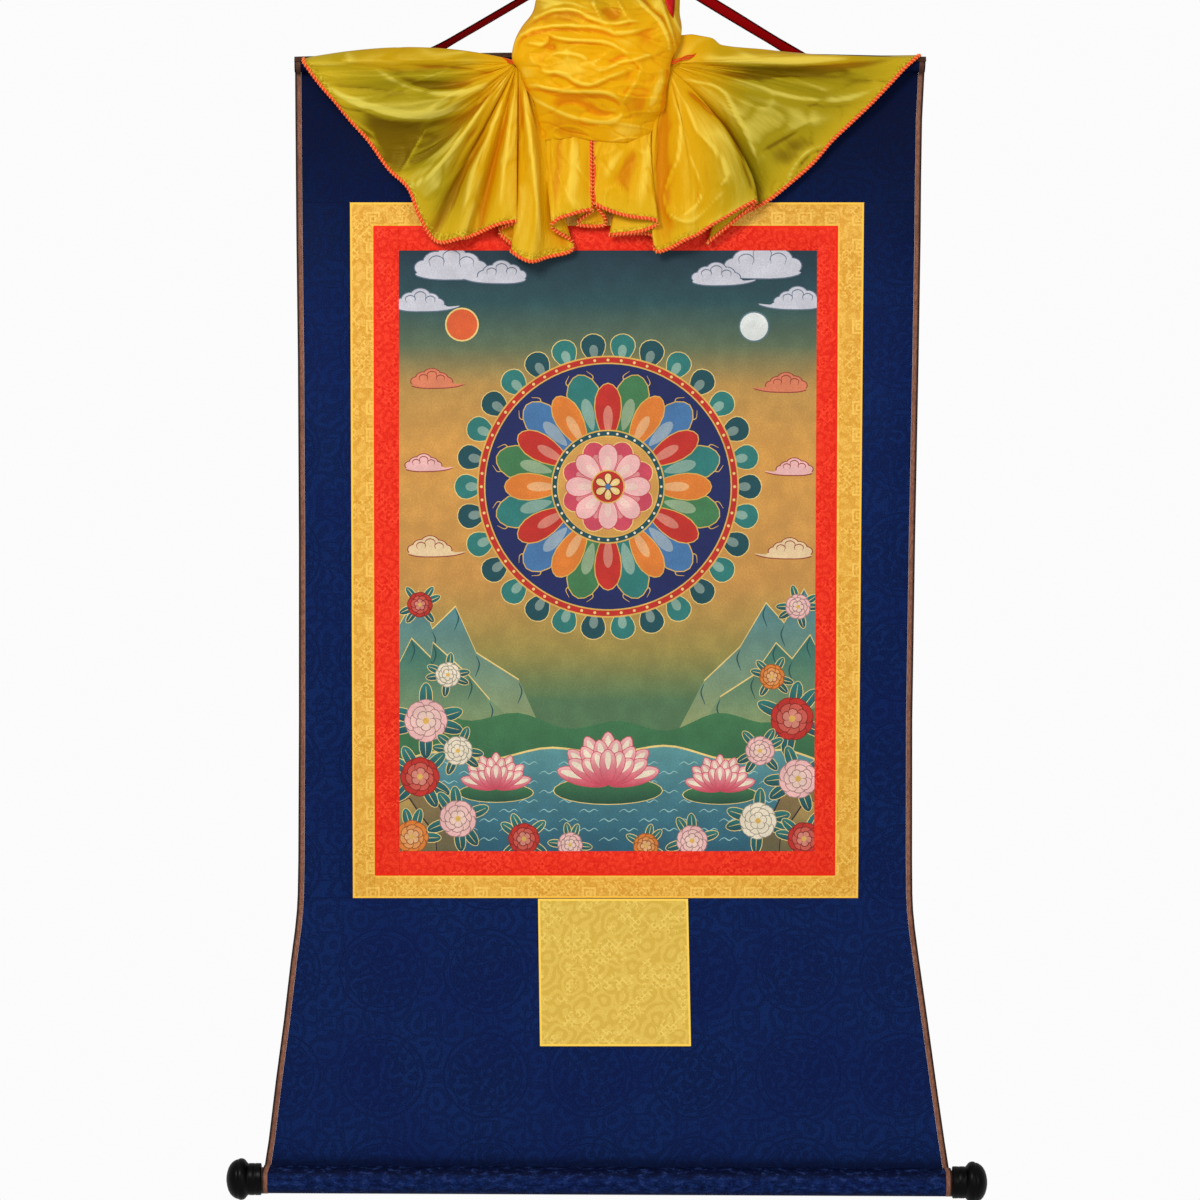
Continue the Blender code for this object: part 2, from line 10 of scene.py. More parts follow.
import bpy
import numpy as np
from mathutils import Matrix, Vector, noise
from mathutils.geometry import delaunay_2d_cdt

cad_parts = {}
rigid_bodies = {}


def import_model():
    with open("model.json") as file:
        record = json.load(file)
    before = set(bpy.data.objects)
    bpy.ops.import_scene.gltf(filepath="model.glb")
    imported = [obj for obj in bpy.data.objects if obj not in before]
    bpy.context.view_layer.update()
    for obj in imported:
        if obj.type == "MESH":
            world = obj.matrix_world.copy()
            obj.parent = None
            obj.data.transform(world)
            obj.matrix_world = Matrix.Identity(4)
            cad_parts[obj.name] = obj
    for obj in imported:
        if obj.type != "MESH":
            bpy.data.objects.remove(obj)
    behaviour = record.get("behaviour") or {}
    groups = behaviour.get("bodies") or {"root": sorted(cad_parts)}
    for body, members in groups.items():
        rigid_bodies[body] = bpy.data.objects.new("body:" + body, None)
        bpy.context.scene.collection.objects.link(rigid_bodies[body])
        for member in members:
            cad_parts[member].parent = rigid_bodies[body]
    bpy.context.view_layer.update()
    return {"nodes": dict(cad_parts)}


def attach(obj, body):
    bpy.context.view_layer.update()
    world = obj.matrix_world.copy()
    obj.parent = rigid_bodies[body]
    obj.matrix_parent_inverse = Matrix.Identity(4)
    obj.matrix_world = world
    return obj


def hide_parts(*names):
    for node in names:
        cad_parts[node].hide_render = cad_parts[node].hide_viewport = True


for startup in list(bpy.data.objects):
    bpy.data.objects.remove(startup)
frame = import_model()

MM = 0.001


def table(kind, *rows):
    """Rows of plain numbers as named tuples."""
    return tuple(kind(*row) for row in rows)


def crease_table(*rows):
    """Creases from rows of height, width, shade and then the (x, drop) points that each runs through."""
    return tuple(Crease(*row[:3], row[3:]) for row in rows)


# Cloth and fits, mm
CLOTH = 1.5
BINDING_CLOTH = 2.0
COVER_CLOTH = 0.9
GAP = 0.3
BINDING_WIDTH = 6.0
PANEL_UNDER_HEADING = 1.3  # how far the top panel's turn lies under the heading's line, below its binding
BINDING_COLUMNS = (0, 0.15, 0.35, 0.55, 0.8, 1)  # shares of its width
SHEET_BEHIND = -1.65
FRONT = SHEET_BEHIND - CLOTH / 2

# Rods and knobs, mm
TOP_ROD_RADIUS = 5.0
BOTTOM_ROD_RADIUS = 12.0
HEADING_DROP = 108.5
HEADING_CROWN = 4.5
HEADING_MIDDLE_X = -6.0
HEADING_HALF_WIDTH = 315.0
KNOB_LEFT_X = -353.8
KNOB_RIGHT_X = 335.4
ROD_LEFT = (-378.0, 1228.5)  # (x, drop) of two points on the bottom rod's axis
ROD_RIGHT = (360.0, 1232.0)
KNOB_SIDES = 72
Turning = namedtuple("Turning", "distance radius")
# From the inner face outwards: a neck with two turned grooves, then a rimmed dome
KNOB_PROFILE = table(
    Turning,
    (0.0, 15.4), (0.6, 16.0), (5.4, 16.0), (5.9, 15.7), (6.6, 15.7), (7.1, 16.0), (11.6, 16.0), (12.1, 15.7),
    (12.8, 15.7), (13.4, 16.1), (14.4, 17.3), (15.6, 18.9), (17.2, 20.2), (19.2, 20.8), (21.2, 20.7),
    (22.6, 20.1), (23.2, 19.6), (24.0, 19.7), (26.2, 18.8), (28.6, 17.2), (30.8, 14.8), (32.7, 11.4),
    (34.0, 7.2), (34.7, 3.2))

Outline = namedtuple("Outline", "drop left right")  # where the scroll's edges are at a drop
OUTLINE = table(
    Outline,
    (100, -321, 309.5), (171, -320.5, 306), (231, -320, 305), (291, -319.5, 304.5), (411, -318, 302.5),
    (591, -317, 299), (771, -317, 296.2), (911, -317.6, 296), (945, -318.2, 296.3), (961, -319, 297),
    (981, -321, 299), (1011, -325, 303), (1071, -332, 311.5), (1131, -340, 319.7), (1191, -347.2, 328.3),
    (1212, -349.7, 331.5), (1222, -353.0, 334.6), (1250, -353.4, 335.0))

Corners = namedtuple("Corners", "top_left top_right bottom_right bottom_left")
GOLD_OUTER = Corners((-266, 253.5), (248, 253.5), (242, 949), (-263, 949))
RED_OUTER = Corners((-242.5, 277), (222, 277), (219, 926.5), (-241, 926.5))
PAINTING = Corners((-217, 301.7), (201, 301.7), (198, 902), (-216.5, 902))
DOOR = Corners((-78, 949.6), (72, 949.6), (75, 1097), (-76, 1097))
DOOR_CLOTH = 1.2
DOOR_TURN_IN = 2.2
DOOR_RIM = 0.3

# The tape
TAPE_WIDTH = 11.5
TAPE_THICKNESS = 1.2
TAPE_ROUNDING = 0.2
Stop = namedtuple("Stop", "x drop turn")
TAPE_ROUTE = table(
    Stop,
    (-224, 126.8, 0), (-208, 117.5, 0), (-192, 108.1, 10), (-180, 101.1, 42), (-168, 94.1, 55),
    (-154, 85.9, 57), (-140, 77.8, 57), (-120, 66.1, 57), (-97.6, 53.0, 58), (-75, 39.8, 62), (-50, 25.2, 70),
    (-30, 13.5, 80), (-12, 3.2, 90), (-6, 0.9, 90), (0, 0.2, 90), (6, 0.9, 90), (12, 3.4, 88), (30, 14.2, 72),
    (50, 26.4, 45), (75, 41.5, 20), (100, 56.7, 10), (120, 68.8, 16), (140, 81.0, 26), (160, 93.1, 30),
    (176, 102.8, 18), (192, 112.5, 0), (203, 119.2, 0), (215, 126.5, 0))

# The cover. A fold runs from its gather, or from the line where the bunch ends, past a middle to the hem.
Fold = namedtuple("Fold", "mid_x mid_drop mid_out hem_x hem_drop hem_out")
LEFT_GATHER = (-97, 116)
RIGHT_GATHER = (50, 116)
GATHER_RADIUS = 5.0
GATHER_OUT = 22.0
SEWN_OUT = 5.3
BUNCH_LINE = 181.0
LEFT_FOLDS = table(
    Fold,
    (-200, 100, 12, -313, 112, 12), (-216, 112, 20, -312, 116, 17), (-195, 121, 17.5, -307, 123, 16),
    (-186, 129, 21.5, -302, 130, 15), (-185, 139, 15.5, -295, 139, 13), (-196, 155, 20, -288, 147, 12),
    (-196, 168, 19, -280, 156, 11), (-192, 181, 9.5, -266, 173, 7), (-184, 194, 6.5, -248, 193, 5),
    (-178, 200, 7.5, -228, 221, 5), (-153, 185, 24, -208, 241, 12), (-148, 203, 18, -197, 269, 12),
    (-138, 193, 12, -180, 294, 8), (-125, 191, 22, -156, 292, 18), (-119, 201, 13, -142, 288, 9),
    (-109, 201, 24, -118, 278, 20), (-99, 201, 22, -99, 275, 18), (-104, 201, 10, -117, 284, 8),
    (-100, 206, 12, -102, 300, 10), (-95, 211, 20, -104, 305, 16), (-82, 211, 27, -86, 315, 22),
    (-75, 206, 16, -68, 310, 12), (-64, 216, 12, -45, 304, 9))
MIDDLE_FOLDS = table(
    Fold,
    (-74, 216, 12, -44, 294, 10), (-70, 216, 14.5, -63, 282, 20), (-63, 216, 17, -58, 273, 23),
    (-50, 216, 18, -46, 268.5, 22), (-36, 216, 17, -33, 264.6, 20), (-23.8, 216, 15.5, -23.6, 263.7, 16),
    (-32, 216, 9, -39, 277, 9), (-14, 216, 8, -10, 277, 8), (-22, 216, 14.5, -21.6, 257, 15),
    (-18, 216, 16, -16, 260, 18), (-4, 216, 19, -4, 265, 20), (14, 216, 20, 14, 270, 21),
    (29, 216, 20, 34, 272.5, 22), (35, 216, 18, 42, 277, 20), (24, 219, 12, 24, 284.5, 14),
    (6, 219, 8, -7, 288, 9), (29, 221, 8, 34, 287, 9))
RIGHT_FOLDS = table(
    Fold,
    (36.5, 216, 17, 39, 304, 14), (44, 216, 15, 52, 302, 13), (66, 201, 25, 68, 294, 22),
    (76, 211, 24, 83, 287, 20), (100, 216, 27, 100, 276, 22), (117, 194, 26, 141, 254, 18),
    (102, 194, 13, 91, 296, 9), (110, 198, 9, 118, 272, 6), (125, 205, 8, 150, 254.5, 6),
    (126, 179, 17, 167, 242, 9), (149, 169, 13, 196, 217, 8), (164, 156, 17, 216, 194, 10),
    (174, 144, 14, 236, 175, 11), (179, 135, 20, 256, 156, 13), (184, 128, 16, 274, 137, 14),
    (184, 117, 22, 289, 121, 16), (184, 109, 20, 298, 113, 17), (184, 106, 12, 303, 108, 12))
Section = namedtuple("Section", "drop left right front back")  # the bunch's outline and depth at a drop
BUNCH = table(
    Section,
    (4, -8, 8, 12, 6), (11, -22, 20, 17, 6), (23, -52, 44, 25, 6), (39, -74, 60, 33, 6), (51, -79, 63, 37, 6),
    (66, -83, 63, 41, 7), (81, -94, 65, 45, 9), (96, -101, 63, 47, 14), (113, -103, 55, 47, 17),
    (126, -95, 53, 46, 17), (141, -90, 50, 44, 16), (154, -82, 49, 41, 15), (171, -78, 46, 31, 14),
    (184, -75, 41, 23, 13), (192, -74, 38, 18.5, 12), (192, -70, 35, 15.5, 12), (187, -67, 32, 13.5, 12))
BUNCH_WRAP = math.radians(150)
BROAD_CREASE, TALL_CREASE = 4.5, 2.4
Crease = namedtuple("Crease", "height width shade route")  # the shade lies to the right of the way it runs
BUNCH_CREASES = crease_table(
    (5, 4, 0.9, (-102, 112), (-99, 95), (-90, 87), (-78, 83), (-58, 81), (-39, 81.6), (-19, 83), (-7, 86.5),
     (0, 89), (12, 88), (24, 85), (32, 81)),
    (3, 3, 0.5, (-90, 97), (-83, 98.5), (-74, 100), (-69, 96), (-67, 88)),
    (4.5, 3, 0.7, (-67, 88), (-61, 92.5), (-50, 95), (-37, 96.3), (-19, 97), (-6, 99.5), (4, 104.6), (14,
     112)),
    (3, 3.4, 0.2, (-69, 114), (-59, 108.5), (-45, 109), (-34, 112), (-28, 117)),
    (2, 2.4, 0.3, (-22, 127), (-23, 121), (-19, 116), (-10, 111)),
    (3.5, 3, 0.4, (-20, 127), (-8, 124), (5, 117.5), (18, 115), (30, 111), (43, 107)),
    (5, 3.4, 0.7, (-72, 119), (-72, 126), (-60, 127.5), (-48, 131.4), (-41, 136.5), (-32, 139.5), (-22, 139),
     (-8, 132.6), (6, 127.5), (19, 121)),
    (2.5, 2.6, 0.3, (16, 115), (23, 120), (24, 126), (18, 133)),
    (5.5, 3.8, 1.0, (-91, 139), (-78, 140.3), (-65, 143.5), (-52, 146), (-34, 146.7), (-14, 147.3), (-4, 150),
     (4, 154.3), (7, 160)),
    (4.5, 4, 0.2, (-84, 148), (-79, 154), (-62, 163), (-45, 170), (-27, 174), (-14, 176), (-4, 175), (4,
     169.6), (7, 162)),
    (2, 2.6, 0.4, (-22, 159.4), (-14, 163), (-4, 164), (4, 162)),
    (3, 3, 0.3, (24, 129), (12, 148), (6, 158)),
    (3.5, 7, 0.1, (46, 128), (43, 138), (37, 152), (32, 168)),
    (4.5, 4, 0.8, (-91, 79), (-78, 71.4), (-62, 65), (-40, 66), (-27, 72.7), (-14, 78), (-5, 84)),
    (3, 4, 0.4, (-74, 64), (-61, 58.7), (-45, 58.7), (-34, 62), (-24, 65)),
    (3.5, 2.6, 0.3, (-21, 52), (-23, 58.7), (-19, 67.6), (-15, 77)),
    (3, 2.6, 0.3, (12, 75), (8, 68), (4, 61), (-1, 52)),
    (3, 2.8, 0.6, (-14, 78.4), (-1, 79.7), (13, 77), (24, 76.5)),
    (4.5, 4, 0.9, (53, 106), (51, 93), (43, 76.5), (31, 65), (20, 53), (14, 46)),
    (4, 3, 0.6, (60, 108), (56, 92), (51, 76.5), (45, 59), (42, 50)),
    (3, 3, 0.5, (69, 97), (66, 89), (59, 76.5), (56, 66)),
    (-4, 5, 0, (-13, 64), (-3, 72), (2, 66)),
    (-4, 3, 0, (-72, 101), (-63, 102.5), (-60, 102)),
    (-4, 5, 0, (-44, 152), (-30, 160), (-16, 166), (-6, 168)),
    (-3, 5, 0, (-64, 158), (-50, 154), (-40, 156)),
    (-3, 3.4, 0, (-8, 119), (2, 113), (10, 112)),
    (-3, 3, 0, (52, 112), (50, 130), (46, 160), (40, 186)),
    (2, 12, 0, (-96, 116), (-90, 126), (-84, 136)),
    (1.8, 14, 0, (-60, 120), (-44, 121), (-30, 128)),
    (-1.6, 12, 0, (-70, 178), (-50, 182), (-26, 184)),
    (2, 10, 0, (-12, 184), (10, 184), (30, 180)),
    (-1.8, 12, 0, (14, 142), (22, 156), (20, 176)),
    (2.2, 10, 0, (-76, 54), (-64, 56), (-52, 54)),
    (-2, 8, 0, (-60, 74), (-44, 72), (-32, 77)),
    (2.2, 8, 0, (36, 52), (40, 60), (45, 70)),
    (-2, 10, 0, (20, 96), (32, 94), (44, 100)),
    (1.8, 8, 0, (-4, 92), (10, 96), (24, 100)),
    (-3, 3, 0, (-99, 118), (-94, 130), (-89, 142), (-80, 172), (-75, 188)))
WING_CREASES = crease_table(
    (-2.5, 2.2, 0, (-212, 117), (-178, 119.5), (-154, 121), (-119, 127)),
    (3, 5, 0.2, (-126, 137), (-137, 141), (-154, 145), (-174, 146), (-195, 143), (-219, 134), (-241, 121)),
    (-2.5, 5, 0, (-222, 130), (-195, 136), (-170, 139), (-140, 143)),
    (3.5, 6, 0.5, (-297, 127), (-274, 148), (-243, 160), (-216, 167), (-188, 168.5), (-162, 163), (-138,
     153)),
    (-3, 8, 0, (-254, 168), (-230, 177), (-194, 182)),
    (-3, 8, 0, (-242, 184), (-220, 192), (-199, 193)),
    (-3, 7, 0, (-230, 202), (-214, 206), (-205, 204)),
    (2.5, 2.2, 0.5, (-190, 182), (-201, 200), (-215, 225)),
    (4, 2.6, 0.4, (-111, 125), (-130, 155), (-145, 177), (-162, 201), (-180, 222), (-195, 234), (-208, 238)),
    (-3, 3.5, 0, (-119, 143), (-136, 174), (-154, 203), (-171, 236)),
    (-3, 2.0, 0, (-124, 180), (-143, 211), (-157, 237), (-163, 262)),
    (3, 3, 0, (-112, 150), (-128, 190), (-143, 225), (-150, 262)),
    (-2.5, 2.5, 0, (-106, 160), (-117, 200), (-128, 240), (-134, 268)),
    (3, 3, 0, (-103, 150), (-109, 200), (-116, 258)),
    (3.5, 2.6, 0, (-92, 150), (-86, 190), (-80, 240), (-76, 296)),
    (-3, 3, 0, (-97, 140), (-92, 180), (-91, 224)),
    (-4, 3, 0, (70, 142), (103, 172), (117, 193), (135, 238), (142, 252)),
    (3, 3, 0.2, (66, 132), (104, 142), (122, 172), (139, 207)),
    (-2.5, 3, 0, (139, 207), (165, 192), (191, 177)),
    (2.5, 5, 0.3, (80, 120), (130, 137), (180, 150), (226, 152), (262, 140)),
    (-5, 4.5, 0, (96, 126), (130, 128), (170, 126), (210, 121), (250, 116), (280, 112)),
    (3, 5, 0.4, (90, 112), (130, 114), (180, 114), (230, 112)),
    (-6, 2.0, 0, (72, 146), (84, 156), (98, 170)),
    (2.2, 16, 0, (120, 150), (160, 172), (205, 168)),
    (-2.2, 14, 0, (150, 212), (170, 206), (195, 192)),
    (3, 4, 0.3, (170, 238), (178, 218), (192, 203), (210, 196)),
    (3, 3, 0.2, (55, 128), (62, 150), (64, 181), (62, 208), (55, 227), (49, 242), (49, 255), (54, 266), (60,
     271), (69, 274), (80, 271), (96, 255), (105, 246)),
    (3, 2.8, 0.4, (74, 209), (81, 227), (85, 242), (82, 255), (74, 263), (66, 269)),
    (2.5, 3, 0.2, (68, 150), (80, 182), (96, 200), (107, 217), (110, 230), (101, 242)),
    (-3, 7, 0, (47, 160), (45, 190), (45, 225), (47, 264)),
    (-2.4, 10, 0, (16, 200), (11, 222), (4, 248)),
    (2, 5, 0, (-12, 230), (0, 212), (16, 194)),
    (2.2, 5, 0, (31, 184), (29, 222), (23, 262)),
    (-1.5, 4, 0, (-29, 188), (-29, 220), (-27, 250)),
    (2.2, 6, 0, (-40, 188), (-42, 222), (-46, 262)),
    (-2, 5, 0, (-56, 190), (-58, 225), (-62, 262)))


def side(drop, column):
    """The scroll's edge at a drop."""
    return float(np.interp(drop, [row.drop for row in OUTLINE], [getattr(row, column) for row in OUTLINE]))


def mix(a, b, t):
    return a + (b - a) * t


def knots(first, last):
    return [row.drop for row in OUTLINE if first < row.drop < last]


def crown(x):
    """How much higher than at its ends the heading stands."""
    return HEADING_CROWN * max(0.0, 1 - ((x - HEADING_MIDDLE_X) / HEADING_HALF_WIDTH) ** 2)


def leaning(upper, lower, drop):
    """The x, at a drop, of the line through an upper and a lower point."""
    return upper[0] + (drop - upper[1]) * ((lower[0] - upper[0]) / (lower[1] - upper[1]))


def rod_axis_drop(x):
    return mix(ROD_LEFT[1], ROD_RIGHT[1], (x - ROD_LEFT[0]) / (ROD_RIGHT[0] - ROD_LEFT[0]))


def wrap_radius(rod_radius):
    return rod_radius + GAP + BINDING_CLOTH / 2


TOP_AXIS_DROP = HEADING_DROP + PANEL_UNDER_HEADING + wrap_radius(TOP_ROD_RADIUS) + CLOTH / 2


def smooth(points, places):
    """Points on the smooth curve through evenly spaced ones. Places run from 0 to 1."""
    points = np.asarray(points, float)
    place = np.clip(np.asarray(places, float) * (len(points) - 1), 0, len(points) - 1 - 1e-9)
    i = place.astype(int)
    f = (place - i).reshape((-1,) + (1,) * (points.ndim - 1))
    run = np.concatenate([[points[0] * 2 - points[1]], points, [points[-1] * 2 - points[-2]]])
    a, b, c, d = (run[i + k] for k in range(4))
    return (b * 2 + (c - a) * f + (a * 2 - b * 5 + c * 4 - d) * f**2 + (b * 3 - a - c * 3 + d) * f**3) / 2


def place(points):
    """(x, drop, out) in mm as (x, y, z) in metres."""
    points = np.asarray(points, float)
    return np.stack([points[..., 0], FRONT - points[..., 2], -points[..., 1]], -1) * MM


def ramp(value, low, high):
    """0 up to low, 1 from high on, eased between them."""
    t = np.clip((np.asarray(value, float) - low) / (high - low), 0, 1)
    return t * t * (3 - 2 * t)


# --- Meshes ---


def deselect():
    if bpy.context.object and bpy.context.object.mode != "OBJECT":
        bpy.ops.object.mode_set(mode="OBJECT")
    bpy.ops.object.select_all(action="DESELECT")


def select_only(obj):
    deselect()
    obj.select_set(True)
    bpy.context.view_layer.objects.active = obj


def new_mesh(name, points, faces, uv=None, marks=()):
    """A mesh from points and faces. Marks are named numbers, one for each point."""
    mesh = bpy.data.meshes.new(name)
    mesh.from_pydata(np.asarray(points).reshape(-1, 3).tolist(), [],
                     [tuple(map(int, face)) for face in faces])
    corners = np.empty(len(mesh.loops), np.int32)
    mesh.loops.foreach_get("vertex_index", corners)
    if uv is not None:
        layer = mesh.uv_layers.new(name="cloth")
        layer.data.foreach_set("uv", np.asarray(uv, float).reshape(-1, 2)[corners].ravel())
    for mark, values in dict(marks).items():
        attribute = mesh.attributes.new(mark, "FLOAT", "POINT")
        attribute.data.foreach_set("value", np.asarray(values, float).ravel())
    mesh.shade_smooth()
    obj = bpy.data.objects.new(name, mesh)
    bpy.context.scene.collection.objects.link(obj)
    return obj


def grid_faces(rows, columns):
    r, c = np.meshgrid(np.arange(rows - 1), np.arange(columns - 1), indexing="ij")
    first = (r * columns + c).ravel()
    return np.stack([first, first + columns, first + columns + 1, first + 1], -1)


def apply_modifier(obj, kind, **settings):
    select_only(obj)
    modifier = obj.modifiers.new(kind.lower(), kind)
    for setting, value in settings.items():
        setattr(modifier, setting, value)
    bpy.ops.object.modifier_apply(modifier=modifier.name)


def thicken(obj, thickness):
    apply_modifier(obj, "SOLIDIFY", thickness=thickness * MM, offset=0, use_even_offset=False)


def face_outwards(obj, sharp=None):
    """Every face turned to show its outer side, and shading broken at edges sharper than so many degrees."""
    select_only(obj)
    bpy.ops.object.mode_set(mode="EDIT")
    bpy.ops.mesh.select_all(action="SELECT")
    bpy.ops.mesh.normals_make_consistent(inside=False)
    bpy.ops.object.mode_set(mode="OBJECT")
    if sharp:
        break_shading(sharp)


def break_shading(degrees):
    bpy.ops.object.shade_smooth_by_angle(angle=math.radians(degrees))


def just_added(name):
    """The object that an operator has just made, under its own name."""
    obj = bpy.context.object
    obj.name = obj.data.name = name
    return obj


def fit(piece, node):
    """Put a piece on the root body and hide the solid that it stands for."""
    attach(piece, "root")
    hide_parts(node)


def unit(vectors):
    return vectors / np.linalg.norm(vectors, axis=-1, keepdims=True)


def distances(points, axis=0):
    """How far each point lies along its column of points, or along its row."""
    steps = np.cumsum(np.linalg.norm(np.diff(points, axis=axis), axis=-1), axis=axis)
    return np.concatenate([np.zeros_like(steps.take([0], axis)), steps], axis)


def resampled(points, distance, places):
    """Points at places along a route, between those whose distances are given."""
    return np.stack([np.interp(places, distance, values) for values in points.T], -1)


def tube(route, radius, sides=6):
    """Points and faces of a round thread along a route in metres, closed at both ends."""
    route = np.asarray(route, float)
    along = unit(np.gradient(route, axis=0))
    across = unit(np.cross(along, THREAD_SIDE))
    up = np.cross(along, across)
    turns = np.arange(sides)[None, :, None] * 2 * math.pi / sides
    ring = np.cos(turns) * across[:, None] + np.sin(turns) * up[:, None]
    return drawn_out(route[:, None] + ring * radius * MM)


def drawn_out(rings):
    """Points and faces of a solid through rings of points, closed at both ends."""
    count, sides = rings.shape[:2]
    faces = []
    for r in range(count - 1):
        for s in range(sides):
            a, b = r * sides + s, r * sides + (s + 1) % sides
            faces.append((a, b, b + sides, a + sides))
    faces.append(tuple(range(sides))[::-1])
    faces.append(tuple(range((count - 1) * sides, count * sides)))
    return rings.reshape(-1, 3), faces


def joined(parts):
    """Several (points, faces) as one."""
    points, faces, count = [], [], 0
    for part_points, part_faces in parts:
        points.append(part_points)
        faces.extend(tuple(count + i for i in face) for face in part_faces)
        count += len(part_points)
    return np.concatenate(points), faces


# --- Camera ---

PHOTO_MIDDLE_X, PHOTO_MIDDLE_DROP, PHOTO_WIDTH = -16, 651, 1200
CAMERA_AWAY, SENSOR_WIDTH = 6000, 36

deselect()
bpy.ops.object.camera_add(location=Vector((PHOTO_MIDDLE_X, -CAMERA_AWAY, -PHOTO_MIDDLE_DROP)) * MM,
                          rotation=(math.pi / 2, 0, 0))
camera = bpy.context.object
camera.data.sensor_width = SENSOR_WIDTH
camera.data.lens = SENSOR_WIDTH * CAMERA_AWAY / PHOTO_WIDTH
camera.data.clip_end = 50
bpy.context.scene.camera = camera


# --- Tape ---


def make_tape():
    """A flat woven tape, turned as it goes over the hook."""
    x, drop, turn = smooth(TAPE_ROUTE, np.linspace(0, 1, 4 * (len(TAPE_ROUTE) - 1) + 1)).T
    level, turn = np.zeros_like(x), np.radians(turn)[:, None]
    route = np.stack([x, level, -drop], -1)
    along = unit(np.gradient(route, axis=0))
    above = np.stack([-along[:, 2], level, along[:, 0]], -1)
    wide = np.cos(turn) * above - np.sin(turn) * np.array((0.0, 1.0, 0.0))
    thick = np.cross(along, wide)
    half, edge = TAPE_WIDTH / 2, TAPE_THICKNESS / 2
    section = [(-half + edge, -edge), (0, -edge), (half - edge, -edge), (half - TAPE_ROUNDING, -edge * 0.7),
               (half, 0), (half - TAPE_ROUNDING, edge * 0.7)]
    section += [(-w, -t) for w, t in section]
    points, faces = drawn_out(np.stack([route + wide * w + thick * t for w, t in section], 1) * MM)
    length = distances(route) * MM
    uv = np.stack(np.broadcast_arrays([w * MM for w, _ in section], length[:, None]), -1)
    tape = new_mesh("tape", points, faces, uv)
    face_outwards(tape)
    fit(tape, "hanging_cord")
    return tape


tape = make_tape()


# --- Cover ---


def sewn_point(x, lower=0.0):
    return (x, HEADING_DROP - crown(x) - GAP - 1.0 + lower, SEWN_OUT)


def gather_start(centre, degrees):
    turn = math.radians(degrees)
    return (centre[0] + GATHER_RADIUS * math.cos(turn), centre[1] - GATHER_RADIUS * math.sin(turn),
            GATHER_OUT)


def fold_lines():
    """The cover's folds from left to right: start, middle and hem of each."""
    starts = [(-97, 115, 20)]
    starts += [gather_start(LEFT_GATHER, degrees) for degrees in np.linspace(170, 292, len(LEFT_FOLDS) - 1)]
    starts += [(fold.mid_x, BUNCH_LINE, min(fold.mid_out, 15.0)) for fold in MIDDLE_FOLDS]
    starts += [gather_start(RIGHT_GATHER, degrees) for degrees in np.linspace(-112, 12, len(RIGHT_FOLDS) - 1)]
    starts.append((60, 88, 19))
    lines = [(start, fold[:3], fold[3:])
             for start, fold in zip(starts, LEFT_FOLDS + MIDDLE_FOLDS + RIGHT_FOLDS)]
    lines.insert(0, ((-97, 117, 14), sewn_point(-213), sewn_point(-314, 3)))
    lines.append(((60, 101, 12), sewn_point(190, 2), sewn_point(304)))
    return np.array(lines, float)


def crease_field(creases, x, drop):
    """(mm that creases push the cloth out, the painted highlight and shade they get) at each place.

    A crease fades towards its ends. The more shade it has, the steeper it falls on its dark side and the
    gentler on the other. A painted highlight runs along its crest, and a painted shade line beside it.
    """
    relief, tone = np.zeros(np.shape(x)), np.zeros(np.shape(x))
    for crease in creases:
        route = smooth(crease.route, np.linspace(0, 1, 5 * len(crease.route) - 4))
        best = np.full(np.shape(x), np.inf)
        turned, along = np.zeros_like(best), np.zeros_like(best)
        for i, ((x0, drop0), (x1, drop1)) in enumerate(zip(route, route[1:])):
            dx, dd = x1 - x0, drop1 - drop0
            t = np.clip(((x - x0) * dx + (drop - drop0) * dd) / (dx**2 + dd**2), 0, 1)
            distance = np.hypot(x - x0 - dx * t, drop - drop0 - dd * t)
            nearer = distance < best
            best = np.where(nearer, distance, best)
            turned = np.where(nearer, dx * (drop - drop0) - dd * (x - x0), turned)
            along = np.where(nearer, (i + t) / (len(route) - 1), along)
        fade = np.sin(math.pi * np.clip(along * 0.94 + 0.03, 0, 1)) ** 0.7
        near = best / (crease.width * (0.8 if crease.width < BROAD_CREASE else 1))
        aside = np.where(turned > 0, near, -near)
        reach = np.where(turned > 0, 1.9 - crease.shade * 1.15, 1.9 + crease.shade * 1.9)
        relief += crease.height * 0.85 * fade * np.exp(0.3 - np.sqrt((near / reach) ** 2 + 0.3**2))
        # tone: a painted highlight along the crest and painted shade beside it
        contrast = math.copysign(min(0.6, abs(crease.height) * 0.15), crease.height)
        light = np.exp(-((near * (1.7 if crease.height > TALL_CREASE else 1.1)) ** 2))
        dark = np.exp(-(((aside - 1.15) / 0.62) ** 2))
        tone += fade * (contrast * light - crease.shade * 0.62 * dark)
    return relief, tone


def noise_at(points, size, seed):
    """Smooth noise, about -1 to 1, at points in mm."""
    flat = np.asarray(points, float).reshape(-1, points.shape[-1]) / size
    values = [noise.noise(Vector((p[0], p[1], seed))) for p in flat]
    return np.array(values).reshape(points.shape[:-1])


def wrinkles(points, size, seed):
    """Thin creases, 0 to 1, along the lines where smooth noise crosses nought."""
    return np.clip(1 - 5 * np.abs(noise_at(points, size, seed)), 0, 1) ** 2


SKIRT_ROWS, BETWEEN_FOLDS = 100, 8
THREAD_SIDE = (0.31, 0.86, 0.41)  # a direction that no thread runs in
STITCH_SPACING, STITCH_RADIUS = 3.7, 0.62
BUNCH_ROWS, BUNCH_COLUMNS = 230, 190


